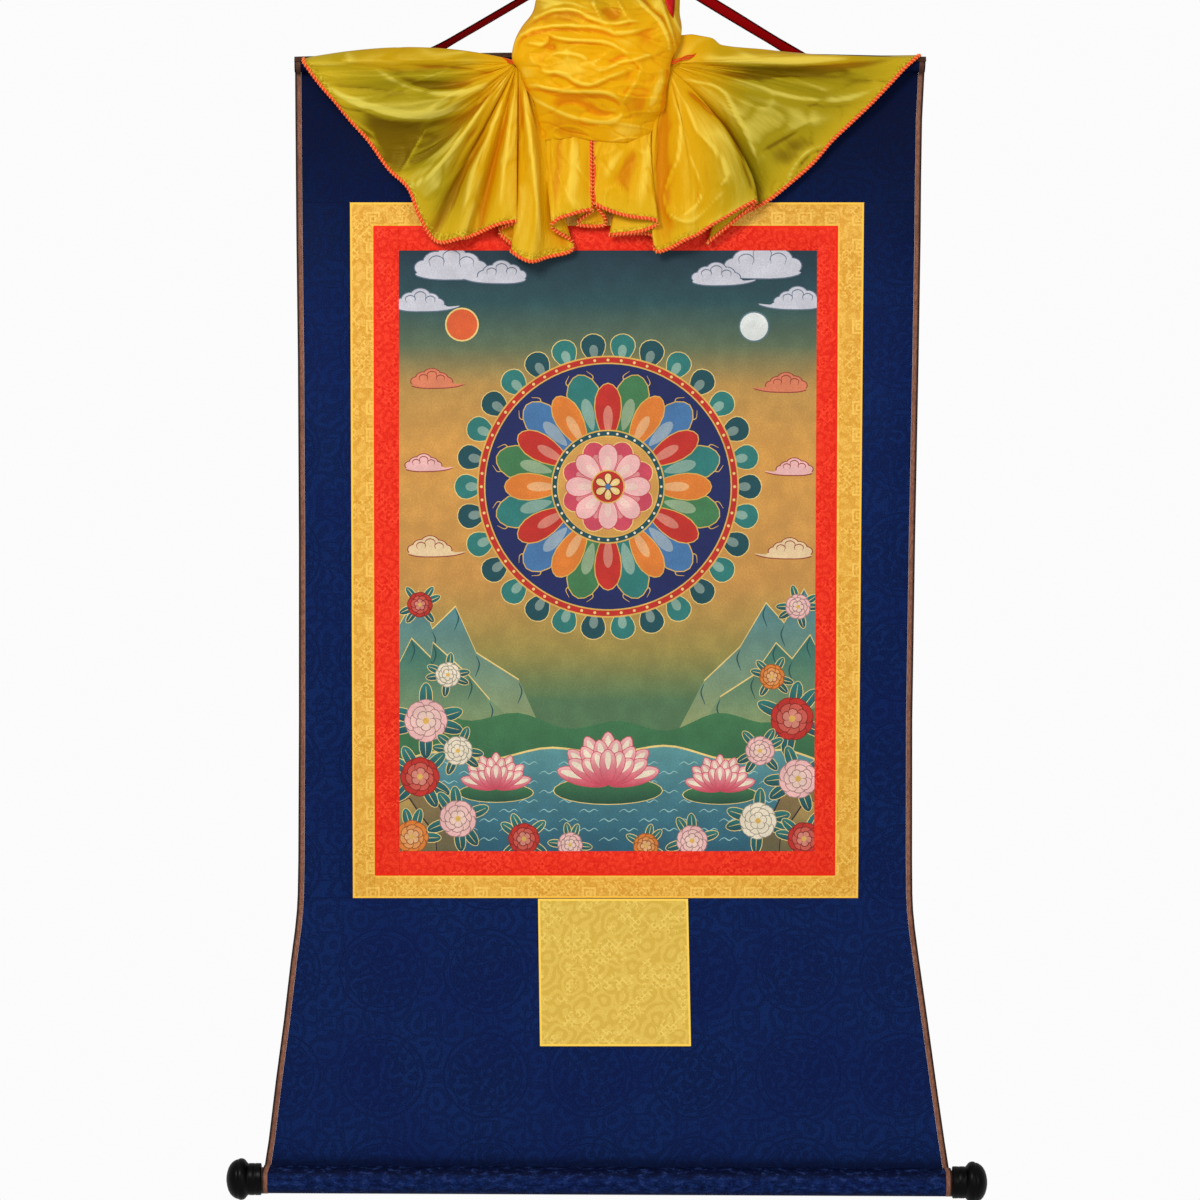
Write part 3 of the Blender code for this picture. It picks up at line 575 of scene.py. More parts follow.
def skirt():
    """(x, drop, out) of the folds, rows from the gathers down to the hem."""
    lines = fold_lines()
    start, middle, hem = lines[:, 0], lines[:, 1], lines[:, 2]
    pull = middle * 2 - (start + hem) / 2
    v = np.linspace(0, 1, SKIRT_ROWS + 1)[:, None, None]
    down = start * (1 - v) ** 2 + pull * 2 * v * (1 - v) + hem * v**2
    count = (len(lines) - 1) * BETWEEN_FOLDS
    points = smooth(down.transpose(1, 0, 2), np.linspace(0, 1, count + 1)).transpose(1, 0, 2)
    u, v = np.broadcast_arrays(np.linspace(0, count / BETWEEN_FOLDS, count + 1), v[..., 0])
    fine = noise_at(np.stack([u * 1.9, v * 2.2], -1), 1.0, 3.1)
    finer = noise_at(np.stack([u * 4.3, v * 3.5], -1), 1.0, 8.4)
    points[..., 2] += (fine * 1.6 + finer * 0.6) * (1 - v) ** 0.7 * ramp(v, 0.0, 0.12)
    x, drop, out = (points[..., k] for k in range(3))  # views, so what is added to them moves the points
    relief, tone = crease_field(WING_CREASES, x, drop)
    along = np.stack([u * 0.62, v * 2.6 + u * 0.1], -1)
    wrinkled = wrinkles(along, 1.0, 12.3) - wrinkles(along, 0.8, 15.8)
    out += (relief + wrinkled * 0.7) * ramp(v, 0.0, 0.1)
    stands = np.clip(u - (len(lines) - 3), 0, 1)
    ear = ramp(x, 62, 78) * (1 - ramp(x, 94, 105))
    dip = ramp(x, 96, 105) * (1 - ramp(x, 110, 150))
    drop += (dip * 2 - ear * 3.5) * stands
    # the tone is painted highlight and shade on the creases and wrinkles
    return points, tone + wrinkled * 0.14


def bunch():
    """(x, drop, out) of the bunch, rows from the hook to its rolled lower edge."""
    v = np.linspace(0, 1, BUNCH_ROWS + 1)
    drop, left, right, front, back = smooth(BUNCH, v).T[:, :, None]
    turn = np.linspace(-BUNCH_WRAP, BUNCH_WRAP, BUNCH_COLUMNS + 1)[None, :]
    x = (left + right) / 2 + (right - left) / 2 * np.sign(turn) * np.abs(np.sin(turn)) ** 0.85
    face = np.cos(turn) + 0 * x
    sag = np.interp(x, (-74, -40, -23, 8, 28, 42), (0, -3, 0, 2.5, -4, -14))
    drop = drop + sag * ramp(drop, 158, 186)
    middle_out = mix(back, front, 0.35)
    out = middle_out + np.where(face > 0, front - middle_out, middle_out - back) * face
    relief, tone = crease_field(BUNCH_CREASES, x, drop)
    across = np.stack([x * 0.5 + drop * 0.4, drop * 1.4 - x * 0.3], -1)
    relief += noise_at(across, 15.0, 5.0) * 1.2
    wrinkled = wrinkles(across, 23.0, 2.6) - wrinkles(across, 17.0, 9.1)
    relief += wrinkled * 1.1
    # the tone is painted highlight and shade on the creases and wrinkles
    return np.stack([x, drop, out + relief * np.maximum(0, face) ** 0.5], -1), tone + wrinkled * 0.17


def arc_uv(points):
    """Lengths along the cloth, in metres, across and down."""
    across, down = distances(place(points), 1), distances(place(points))
    return np.stack([np.broadcast_to(across[-1:], across.shape), down], -1)


def blurred(values, reach):
    """Each row averaged over its neighbours."""
    padded = np.pad(values, ((0, 0), (reach, reach)), mode="edge")
    sums = np.cumsum(np.pad(padded, ((0, 0), (1, 0))), axis=1)
    return (sums[:, 2 * reach + 1:] - sums[:, : -2 * reach - 1]) / (2 * reach + 1)


def satin_piece(name, rows, tone, warm, hem, pucker_glints_and_shade):
    """Satin through rows of (x, drop, out), with marks for its colour and for the painted highlight and shade
    of its folds.
    """
    marks = {"fold": np.clip(0.5 + tone, 0, 1), "warmth": warm, "hem": hem, "pucker_glints_and_shade": pucker_glints_and_shade}
    piece = new_mesh(name, place(rows), grid_faces(*rows.shape[:2]), arc_uv(rows), marks)
    area = sum(face.area for face in piece.data.polygons)
    thicken(piece, COVER_CLOTH)
    fit(piece, "cover")
    return piece, area


def make_folds():
    """The hanging folds: golden in the middle and along the top band, with painted shade behind others."""
    rows, tone = skirt()
    x, drop, out = (rows[..., k] for k in range(3))
    # painted shade where a fold lies behind its neighbours
    painted_shade_behind = np.clip((out - blurred(out, 2 * BETWEEN_FOLDS)) / 22, -0.3, 0.2)
    warm = 0.78 - 0.78 * ramp(np.abs(x + 22), 85, 165) * (1 - ramp(drop, 240, 320) * 0.6)
    fold, down = np.broadcast_arrays(np.linspace(0, x.shape[1] // BETWEEN_FOLDS, x.shape[1]),
                                     np.linspace(0, 1, SKIRT_ROWS + 1)[:, None])
    top_band = 1 - ramp(np.minimum(fold, fold[:, ::-1]), 2.6, 3.6)
    warm = np.maximum(warm, top_band * 0.36 * (1 - ramp(down, 0.6, 0.95)))
    return rows, *satin_piece("satin_cover", rows, tone + painted_shade_behind, warm, ramp(down, 0.72, 1.0),
                              ramp(down, 0.945, 0.975))


def make_bunch():
    """The bunch above the gathers, which has neither hem nor puckers."""
    rows, tone = bunch()
    warm = 0.95 - 0.4 * ramp(-rows[..., 1], -96, -58) + 0.2 * noise_at(rows[..., :2], 28.0, 6.6)
    return rows, *satin_piece("gathered_satin", rows, tone, warm, np.zeros_like(tone), np.zeros_like(tone))


folds, cover, cover_area = make_folds()
body, gathered, gathered_area = make_bunch()


def stitch(edge, inward, normal, along, reach):
    """One overlock stitch: a short thread up the cloth's front, round its edge and up its back."""
    legs = ((reach, 1.0, -0.9), (reach * 0.5, 1.05, -0.2), (0.2, 0.95, 0.5), (-0.55, 0.0, 0.6),
            (0.2, -0.95, 0.5), (reach * 0.6, -1.0, 0.0))
    return tube([edge + (inward * a + normal * b * (COVER_CLOTH / 2 + STITCH_RADIUS) + along * c) * MM
                 for a, b, c in legs], STITCH_RADIUS, 5)


def sew_edge(edge, inward, reach):
    """(stitches that get a painted highlight, band of thread under them) along an edge of the cloth."""
    distance = distances(edge)
    count = int(distance[-1] / (STITCH_SPACING * MM))
    places = (np.arange(count) + 0.5) / count * distance[-1]
    edge, inward = resampled(edge, distance, places), resampled(inward, distance, places)
    along = unit(np.gradient(edge, axis=0))
    inward = unit(inward - along * (inward * along).sum(1)[:, None])
    normal = np.cross(inward, along)
    normal *= np.where(normal[:, 1] > 0, -1, 1)[:, None]
    stitches = [stitch(edge[i], inward[i], normal[i], along[i], reach * (1 + 0.14 * math.sin(i * 2.4)))
                for i in range(count)]
    half = COVER_CLOTH / 2 + 0.35
    section = ((reach, half), (reach * 0.5, half + 0.25), (0, half), (-0.5, 0), (0, -half), (reach, -half))
    return stitches, [drawn_out(np.stack([edge + (inward * a + normal * b) * MM for a, b in section], 1))]


def make_stitching():
    """Orange edging with stitches along the hem and the slit's lips, the stitches marked for a painted
    highlight, and the ties of both gathers.
    """
    metres = place(folds)
    pale, deep = sew_edge(metres[-1], metres[-4] - metres[-1], 2.8)
    lip_rows = slice(6, SKIRT_ROWS + 1)
    for lip, aside in ((1 + len(LEFT_FOLDS) + 5, -3), (1 + len(LEFT_FOLDS) + 8, 3)):
        column = metres[lip_rows, lip * BETWEEN_FOLDS]
        stitches, band = sew_edge(column, metres[lip_rows, lip * BETWEEN_FOLDS + aside] - column, 2.4)
        pale += stitches
        deep += band
    for route in (((-92, 120, 27), (-100, 116.5, 26), (-107, 114, 23), (-113, 112, 19)),
                  ((47, 118.5, 28), (56, 115.5, 27), (66, 112, 25), (76, 109, 23), (84, 107, 20))):
        for shift in (-1.1, 0.3, 1.6):
            wave = np.sin(np.linspace(0, 20, 25) + shift)
            sway = np.stack([wave * 0.2, wave * 0.5 + shift, wave * 0.4], -1)
            deep.append(tube(place(smooth(route, np.linspace(0, 1, 25)) + sway), 0.5))
    points, faces = joined(pale + deep)
    # the stitches are marked pale for a painted highlight, the band and ties not
    stitch_highlight = np.zeros(len(points))
    stitch_highlight[:sum(len(part_points) for part_points, _ in pale)] = 1
    stitching = new_mesh("hem_stitching", points, faces, marks={"pale": stitch_highlight})
    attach(stitching, "root")
    return stitching


stitching = make_stitching()


def make_red_end():
    """The end of a red ribbon that shows between the bunch's folds."""
    edge = [(48.5, 49), (58.6, 49), (58.4, 58), (57.6, 66), (56.8, 72.5), (53, 67), (50.4, 61), (49, 55)]
    front = body[:, BUNCH_COLUMNS // 4:-BUNCH_COLUMNS // 4].reshape(-1, 3)
    rows = []
    for x, drop in edge + [(54, 58)]:
        nearest = front[np.argmin((front[:, 0] - x) ** 2 + (front[:, 1] - drop) ** 2)]
        rows.append((x, drop, nearest[2] + 1.4))
    faces = [(i, (i + 1) % len(edge), len(edge)) for i in range(len(edge))]
    ribbon = new_mesh("red_ribbon_end", place(rows), faces)
    thicken(ribbon, 0.5)
    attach(ribbon, "root")
    return ribbon


ribbon_end = make_red_end()


# --- Mount, bindings and door ---


def wrap_turns(rod_radius, count):
    radius = wrap_radius(rod_radius)
    near = (radius - BINDING_CLOTH / 2 - 0.4) / (radius + BINDING_CLOTH / 2)
    return np.linspace(0, 2 * math.pi - math.acos(near), count + 1)


def heading_path(x, seam, count=36):
    """(drop, Y) down the cloth: round the top rod, then down the sheet to the seam."""
    radius, axis = wrap_radius(TOP_ROD_RADIUS), TOP_AXIS_DROP - crown(x)
    path = [(axis - radius * math.sin(turn), SHEET_BEHIND - radius * (1 - math.cos(turn)))
            for turn in reversed(wrap_turns(TOP_ROD_RADIUS, count))]
    return path + [(drop, SHEET_BEHIND) for drop in knots(HEADING_DROP + 20, seam) + [seam]]


def sleeve_path(x, seam, count=48):
    """(drop, Y) down the cloth: down the sheet from the seam, then round the bottom rod."""
    radius, axis = wrap_radius(BOTTOM_ROD_RADIUS), rod_axis_drop(x)
    path = [(axis + radius * math.sin(turn), SHEET_BEHIND - radius * (1 - math.cos(turn)))
            for turn in wrap_turns(BOTTOM_ROD_RADIUS, count)]
    return [(drop, SHEET_BEHIND) for drop in [seam] + knots(seam, ROD_LEFT[1] - 30)] + path


def lofted(name, rows, thickness, node, level=0, marks=()):
    """Cloth through rows of (x, drop, y) in mm. Its UV map is x and the way down it from a level row."""
    rows = np.asarray(rows, float)
    points = np.stack([rows[..., 0], rows[..., 2], -rows[..., 1]], -1) * MM
    v = distances(points[..., 1:])
    v += rows[level, :, 1] * MM - v[level]
    obj = new_mesh(name, points, grid_faces(*points.shape[:2]), np.stack([points[..., 0], v], -1), marks)
    thicken(obj, thickness)
    obj.data.shade_smooth()
    break_shading(50)
    fit(obj, node)
    return obj


def panel_rows(make_path, seam, columns):
    """Rows across a full-width panel, from binding to binding."""
    margin = BINDING_WIDTH + GAP / 2
    rows = []
    for k in range(len(make_path(0, seam))):
        row = []
        for t in np.linspace(0, 1, columns + 1):
            x = mix(-310, 300, t)
            for _ in range(3):
                drop, y = make_path(x, seam)[k]
                x = mix(side(drop, "left") + margin, side(drop, "right") - margin, t)
            row.append((x, drop, y))
        rows.append(row)
    return rows


def binding_rows(column, inward):
    """Rows of an edge binding, down the whole side and round both rods, with a rounded outer fold."""
    edge = side(HEADING_DROP, column)
    upper = heading_path(edge, GOLD_OUTER.top_left[1])
    lower = sleeve_path(edge, GOLD_OUTER.bottom_left[1])
    middle = [(drop, SHEET_BEHIND) for drop in knots(upper[-1][0], lower[0][0])]
    rows = []
    for drop, y in upper + middle + lower:
        x = side(drop, column)
        rows.append(sorted((x + inward * BINDING_WIDTH * t, drop, y) for t in BINDING_COLUMNS))
    return rows


def edge_binding(name, node, column, inward):
    rows = np.array(binding_rows(column, inward))
    edge = np.array([[side(drop, column) for _, drop, _ in row] for row in rows])
    return lofted(name, rows, BINDING_CLOTH, node,
                  marks={"from_edge": np.abs(rows[..., 0] - edge)})


def make_heading_binding():
    """The brown cloth over the heading, once more round the turn of the panel under it."""
    thickness, wrap = 0.9, wrap_radius(TOP_ROD_RADIUS)
    radius = wrap + BINDING_CLOTH / 2 + GAP + thickness / 2
    turns, across = np.radians(np.linspace(158, 58, 21)), np.linspace(-321, 309.4, 41)
    rows = [[(x, TOP_AXIS_DROP - crown(x) - radius * math.sin(turn),
              SHEET_BEHIND - wrap + radius * math.cos(turn)) for x in across] for turn in turns]
    # from_edge 1.6 puts the binding's painted shade over all of the heading binding
    return lofted("heading_binding", rows, thickness, "binding_top",
                  marks={"from_edge": np.full((len(turns), len(across)), 1.6)})


mount_top = lofted("brocade_heading", panel_rows(heading_path, GOLD_OUTER.top_left[1], 40), CLOTH,
                   "mount_top", level=-1)
mount_bottom = lofted("brocade_foot", panel_rows(sleeve_path, GOLD_OUTER.bottom_left[1], 8), CLOTH,
                      "mount_bottom")
binding_left = edge_binding("edge_binding_left", "binding_left", "left", 1)
binding_right = edge_binding("edge_binding_right", "binding_right", "right", -1)
binding_top = make_heading_binding()


def make_door():
    """The door's panel with its turned-in sides and foot, a little raised where the cloth is double."""
    deselect()
    bpy.ops.mesh.primitive_plane_add(size=1)
    door = just_added("door_panel")
    corners = sorted(DOOR, key=lambda corner: (corner[1], corner[0]))
    for vertex in door.data.vertices:
        x, drop = corners[2 * (vertex.co.y < 0) + (vertex.co.x > 0)]
        vertex.co = Vector((x, FRONT - GAP - DOOR_CLOTH / 2, -drop)) * MM
    bpy.ops.object.mode_set(mode="EDIT")
    bpy.ops.mesh.select_all(action="SELECT")
    bpy.ops.mesh.inset(thickness=DOOR_TURN_IN * MM, depth=-DOOR_RIM * MM)
    bpy.ops.object.mode_set(mode="OBJECT")
    thicken(door, DOOR_CLOTH - DOOR_RIM)
    apply_modifier(door, "BEVEL", width=0.25 * MM, segments=2, limit_method="ANGLE")
    break_shading(40)
    fit(door, "door")
    return door


door = make_door()


def make_panel(name, node, outline):
    """A flat piece of cloth cut to an outline of (x, drop) in mm, its edges turned in a little."""
    deselect()
    bpy.ops.mesh.primitive_circle_add(vertices=len(outline), radius=1, fill_type="NGON")
    panel = just_added(name)
    for vertex, (x, drop) in zip(panel.data.vertices, outline):
        vertex.co = (x * MM, SHEET_BEHIND * MM, -drop * MM)
    thicken(panel, CLOTH)
    face_outwards(panel)
    apply_modifier(panel, "BEVEL", width=0.45 * MM, segments=2, limit_method="ANGLE",
                   angle_limit=math.radians(60))
    break_shading(40)
    fit(panel, node)
    return panel


def frame_strips(colour_name, outer, inner):
    """The four strips of one frame. The upright ones run the whole height."""
    top, foot = outer.top_left[1], outer.bottom_left[1]
    left_top, left_foot, right_top, right_foot = (
        (leaning(upper, lower, drop), drop)
        for upper, lower in ((inner.top_left, inner.bottom_left), (inner.top_right, inner.bottom_right))
        for drop in (top, foot))
    outlines = {"left": (outer.top_left, left_top, left_foot, outer.bottom_left),
                "right": (right_top, outer.top_right, outer.bottom_right, right_foot),
                "top": (left_top, right_top, inner.top_right, inner.top_left),
                "bottom": (inner.bottom_left, inner.bottom_right, right_foot, left_foot)}
    return [make_panel(f"{colour_name}_strip_{which}", f"{colour_name}_{which}",
                       outline) for which, outline in outlines.items()]


def mount_side(name, node, column, inward, top, foot):
    """One upright panel of the mount, between its binding and the gold frame."""
    margin = inward * (BINDING_WIDTH + GAP / 2)
    drops = [top[1]] + knots(top[1], foot[1]) + [foot[1]]
    outer = [(side(drop, column) + margin, drop) for drop in drops]
    return make_panel(name, node, [top, *outer, foot])


gold_strips = frame_strips("gold", GOLD_OUTER, RED_OUTER)
red_strips = frame_strips("red", RED_OUTER, PAINTING)
mount_sides = [
    mount_side("brocade_left", "mount_left", "left", 1, GOLD_OUTER.top_left, GOLD_OUTER.bottom_left),
    mount_side("brocade_right", "mount_right", "right", -1, GOLD_OUTER.top_right, GOLD_OUTER.bottom_right),
]


# --- Knobs ---


def make_knob(name, node, x, outward):
    """A turned knob: a disc drawn out ring by ring along the rod's axis."""
    deselect()
    axis = Vector((x, SHEET_BEHIND - wrap_radius(BOTTOM_ROD_RADIUS), -rod_axis_drop(x))) * MM
    bpy.ops.mesh.primitive_circle_add(vertices=KNOB_SIDES, radius=KNOB_PROFILE[0].radius * MM,
                                      fill_type="NGON", location=axis, rotation=(0, math.pi / 2, 0))
    knob = just_added(name)
    bpy.ops.object.transform_apply(location=True, rotation=True, scale=True)
    bpy.ops.object.mode_set(mode="EDIT")
    bpy.ops.mesh.select_all(action="SELECT")
    for near, far in zip(KNOB_PROFILE, KNOB_PROFILE[1:]):
        step, grow = (far.distance - near.distance) * outward * MM, far.radius / near.radius
        bpy.ops.mesh.extrude_region_move(TRANSFORM_OT_translate={"value": (step, 0, 0)})
        bpy.ops.transform.resize(value=(1, grow, grow),
                                 center_override=axis + Vector((far.distance * outward * MM, 0, 0)))
    bpy.ops.mesh.select_all(action="SELECT")
    bpy.ops.mesh.remove_doubles(threshold=1e-6)
    face_outwards(knob, sharp=38)
    bpy.context.scene.cursor.location = (0, 0, 0)
    bpy.ops.object.origin_set(type="ORIGIN_CURSOR")
    fit(knob, node)
    return knob


knobs = [make_knob("turned_knob_left", "knob_left", KNOB_LEFT_X, -1),
         make_knob("turned_knob_right", "knob_right", KNOB_RIGHT_X, 1)]


# --- Picture ---


def colour(red, green, blue):
    """A colour given as it shows on screen, 0 to 255."""
    def linear(value):
        value /= 255
        return value / 12.92 if value <= 0.04045 else ((value + 0.055) / 1.055) ** 2.4
    return (linear(red), linear(green), linear(blue), 1.0)


GOLD_PAINT, PALE_GOLD, INK, CREAM = (224, 178, 84), (240, 208, 128), (46, 40, 44), (240, 226, 200)
TEAL, DEEP_TEAL, NAVY = (44, 122, 116), (22, 76, 84), (24, 36, 92)
PINK, ROSE, RED, ORANGE = (242, 186, 182), (206, 72, 92), (196, 44, 34), (226, 126, 46)
GREEN, DEEP_GREEN, SKY_BLUE = (66, 124, 78), (34, 78, 58), (70, 118, 168)


def closed_curve(points, steps=5):
    """A smooth closed outline through points."""
    run = points[-2:] + points + points[:3]
    return smooth(run, (2 + np.arange(len(points) * steps) / steps) / (len(run) - 1))


def turned(points, degrees, centre):
    """Points that face up, turned clockwise and moved to a centre."""
    points = np.asarray(points, float)
    c, s = math.cos(math.radians(degrees)), math.sin(math.radians(degrees))
    return points @ np.array([(c, s), (-s, c)]) + centre


def disc(centre, radius, flat=1.0, sides=24):
    angle = np.arange(sides) * 2 * math.pi / sides
    return np.stack([centre[0] + radius * np.cos(angle), centre[1] + radius * flat * np.sin(angle)], -1)


def petal(centre, degrees, length, width, start=0.0, plump=0.3, sides=18):
    """A petal that starts a way off a centre and points away from it."""
    s = np.arange(sides) * 2 * math.pi / sides
    along = start + length * (1 - np.cos(s)) / 2
    across = width / 2 * np.sign(np.sin(s)) * np.abs(np.sin(s)) ** 1.15 * (1 - plump * np.cos(s))
    return turned(np.stack([across, -along], -1), degrees, centre)


def paled(shade, share):
    return tuple((1 - share) * a + share * b for a, b in zip(shade, CREAM))


class Picture:
    """Flat shapes of paint in mm right of and below the picture's top middle, each over those before it."""

    def __init__(self):
        self.shapes = []

    def fill(self, outline, shade, foot=None):
        """A shape in one shade, or fading down to another."""
        self.shapes.append((np.asarray(outline, float), shade, foot or shade))

    def line(self, route, width, shade):
        """A brush line through points, thin at its ends."""
        route = smooth(route, np.linspace(0, 1, 5 * len(route) - 4))
        along = np.gradient(route, axis=0)
        thin = 0.25 + 0.75 * np.sin(math.pi * np.linspace(0.04, 0.96, len(route)))[:, None]
        half = unit(np.stack([-along[:, 1], along[:, 0]], -1)) * width / 2 * thin
        self.fill(np.concatenate([route + half, (route - half)[::-1]]), shade)

    def rings(self, centre, sides, *radii):
        """Rings of paint, each a disc over the wider one before it."""
        for radius, shade in radii:
            self.fill(disc(centre, radius, sides=sides), shade)

    def dots(self, centre, count, away, radius, shade):
        """Dots in a circle."""
        for i in range(count):
            self.fill(disc(turned([(0, -away)], 360 / count * i, centre)[0], radius, sides=8), shade)

    def petals(self, centre, count, start, length, width, shades, edge, turn=0.0, line=0.8):
        """A ring of edged petals, each with a paler heart."""
        for i in range(count):
            degrees, shade = turn + 360 * i / count, shades[i % len(shades)]
            self.fill(petal(centre, degrees, length, width, start), edge)
            self.fill(petal(centre, degrees, length - 2 * line, width - 2 * line, start + line), shade)
            self.fill(petal(centre, degrees, length * 0.5, width * 0.34, start + length * 0.12),
                      paled(shade, 0.45))

    def leaf(self, centre, degrees, length, width):
        self.fill(petal(centre, degrees, length, width), PALE_GOLD)
        self.fill(petal(centre, degrees, length - 1.2, width - 1.4, 0.6), TEAL, DEEP_TEAL)
        vein = [(0, -1), (width * 0.04, -length * 0.5), (0, -length * 0.9)]
        self.line(turned(vein, degrees, centre), 0.7, PALE_GOLD)

    def peony(self, centre, radius, shade, turn=0.0):
        """A full flower of three rings of round petals on its leaves."""
        for i in range(6):
            self.leaf(centre, turn + 60 * i + 17 * math.sin(i * 2.1), radius * 1.75, radius * 0.62)
        deep = tuple(0.66 * value for value in shade)
        for size, count, pale in ((1.0, 8, 0.0), (0.74, 7, 0.25), (0.48, 5, 0.5)):
            length = radius * size
            for i in range(count):
                degrees = turn + 360 * (i + pale) / count
                self.fill(petal(centre, degrees, length, length * 0.86, 0, 0.6, 12), deep)
                self.fill(petal(centre, degrees, length - 0.8, length * 0.86 - 1.5, 0, 0.6, 12),
                          paled(shade, pale))
        self.fill(disc(centre, radius * 0.15, sides=10), GOLD_PAINT)

    def lotus(self, centre, size):
        """A lotus from the side: three rows of petals over its pad."""
        pad = (centre[0], centre[1] + size * 0.1)
        self.fill(disc(pad, size * 0.95, 0.26), PALE_GOLD)
        self.fill(disc(pad, size * 0.95 - 1, 0.25), GREEN, DEEP_GREEN)
        width = size * 0.3
        for spread, count, reach in ((74, 7, 0.92), (58, 6, 0.8), (44, 5, 0.62)):
            length = size * reach
            for i in sorted(range(count), key=lambda k: -abs(k - (count - 1) / 2)):
                degrees = mix(-spread, spread, i / (count - 1))
                self.fill(petal(centre, degrees, length, width, 0, 0.2), ROSE)
                self.fill(petal(centre, degrees, length - 1.2, width - 1.4, 0.4, 0.2), PINK, ROSE)
                self.fill(petal(centre, degrees, length * 0.5, width / 3, length * 0.42), CREAM)

    def cloud(self, centre, size, shade, edge, lean=1):
        """A bank of round billows with a tail."""
        billows = [(-1.0, 0.05, 0.3), (-0.62, -0.12, 0.42), (-0.12, -0.3, 0.5), (0.38, -0.14, 0.44),
                   (0.8, 0.04, 0.3), (0.1, 0.1, 0.42), (-0.4, 0.12, 0.34)]
        tail = [(-1.1, 0.1), (-1.5, 0.2), (-2.1, 0.16), (-1.5, 0.34), (-0.6, 0.42), (0.6, 0.4), (1.0, 0.2)]

        def at(x, y):
            return centre[0] + lean * x * size, centre[1] + y * size

        for grow, tone in ((1.1, edge), (0, shade)):
            for x, y, radius in billows:
                self.fill(disc(at(x, y), radius * size + grow, 0.8, 18), tone)
            body = [(at(x, y)[0], at(x, y)[1] + (grow if y > 0.15 else -grow)) for x, y in tail]
            self.fill(closed_curve(body, 4), tone)
        for x, y, radius in billows[1:4]:
            self.line([at(x + radius * 0.6 * math.cos(a), y + radius * 0.5 * math.sin(a))
                       for a in (2.6, 3.7, 4.8, 5.9, 7.0)], 1.0, edge)

    def mesh(self, name, outline, middle, top, depth):
        """One mesh cut along every shape's outline, each piece in its top shape's shade."""
        shapes = [(np.asarray(outline, float) - (middle, top), CREAM, CREAM)] + self.shapes
        points, faces = [], []
        for shape, _, _ in shapes:
            x, y = shape.T
            if np.dot(x, np.roll(y, -1)) < np.dot(y, np.roll(x, -1)):
                shape = shape[::-1]
            faces.append(list(range(len(points), len(points) + len(shape))))
            points.extend(Vector(point) for point in shape.tolist())
        corners, _, cut_faces, _, _, sources = delaunay_2d_cdt(points, [], faces, 1, 1e-4, True)
        kept = [(face, max(source)) for face, source in zip(cut_faces, sources) if 0 in source]
        flat = np.array([(p.x + middle, depth, -p.y - top) for p in corners]) * MM
        obj = new_mesh(name, flat, [face for face, _ in kept])
        tones = []
        for face, source in kept:
            shape, head, foot = shapes[source]
            low, span = shape[:, 1].min(), max(1e-6, np.ptp(shape[:, 1]))
            for corner in face:
                t = min(1, max(0, (corners[corner].y - low) / span))
                tones.extend(colour(*(mix(a, b, t) for a, b in zip(head, foot))))
        obj.data.color_attributes.new("paint", "FLOAT_COLOR", "CORNER").data.foreach_set("color", tones)
        return obj


def back_with_cloth(obj, thickness):
    """Sides and a plain back behind a flat painted front."""
    painted = len(obj.data.polygons)
    select_only(obj)
    bpy.ops.object.mode_set(mode="EDIT")
    bpy.ops.mesh.select_mode(type="EDGE")
    bpy.ops.mesh.select_all(action="DESELECT")
    bpy.ops.mesh.select_non_manifold()
    bpy.ops.mesh.extrude_region_move(TRANSFORM_OT_translate={"value": (0, thickness * MM, 0)})
    bpy.ops.mesh.edge_face_add()
    face_outwards(obj, sharp=30)
    paint = obj.data.color_attributes["paint"]
    for face in obj.data.polygons[painted:]:
        for corner in face.loop_indices:
            paint.data[corner].color = colour(222, 210, 184)


PICTURE_EDGE, PICTURE_FOOT = 215, 610  # a little past the canvas, which cuts off what lies outside it


def bank(crest):
    """Everything from a smooth crest down to the picture's foot."""
    return np.concatenate([smooth(crest, np.linspace(0, 1, 40)),
                           [(PICTURE_EDGE, PICTURE_FOOT), (-PICTURE_EDGE, PICTURE_FOOT)]])


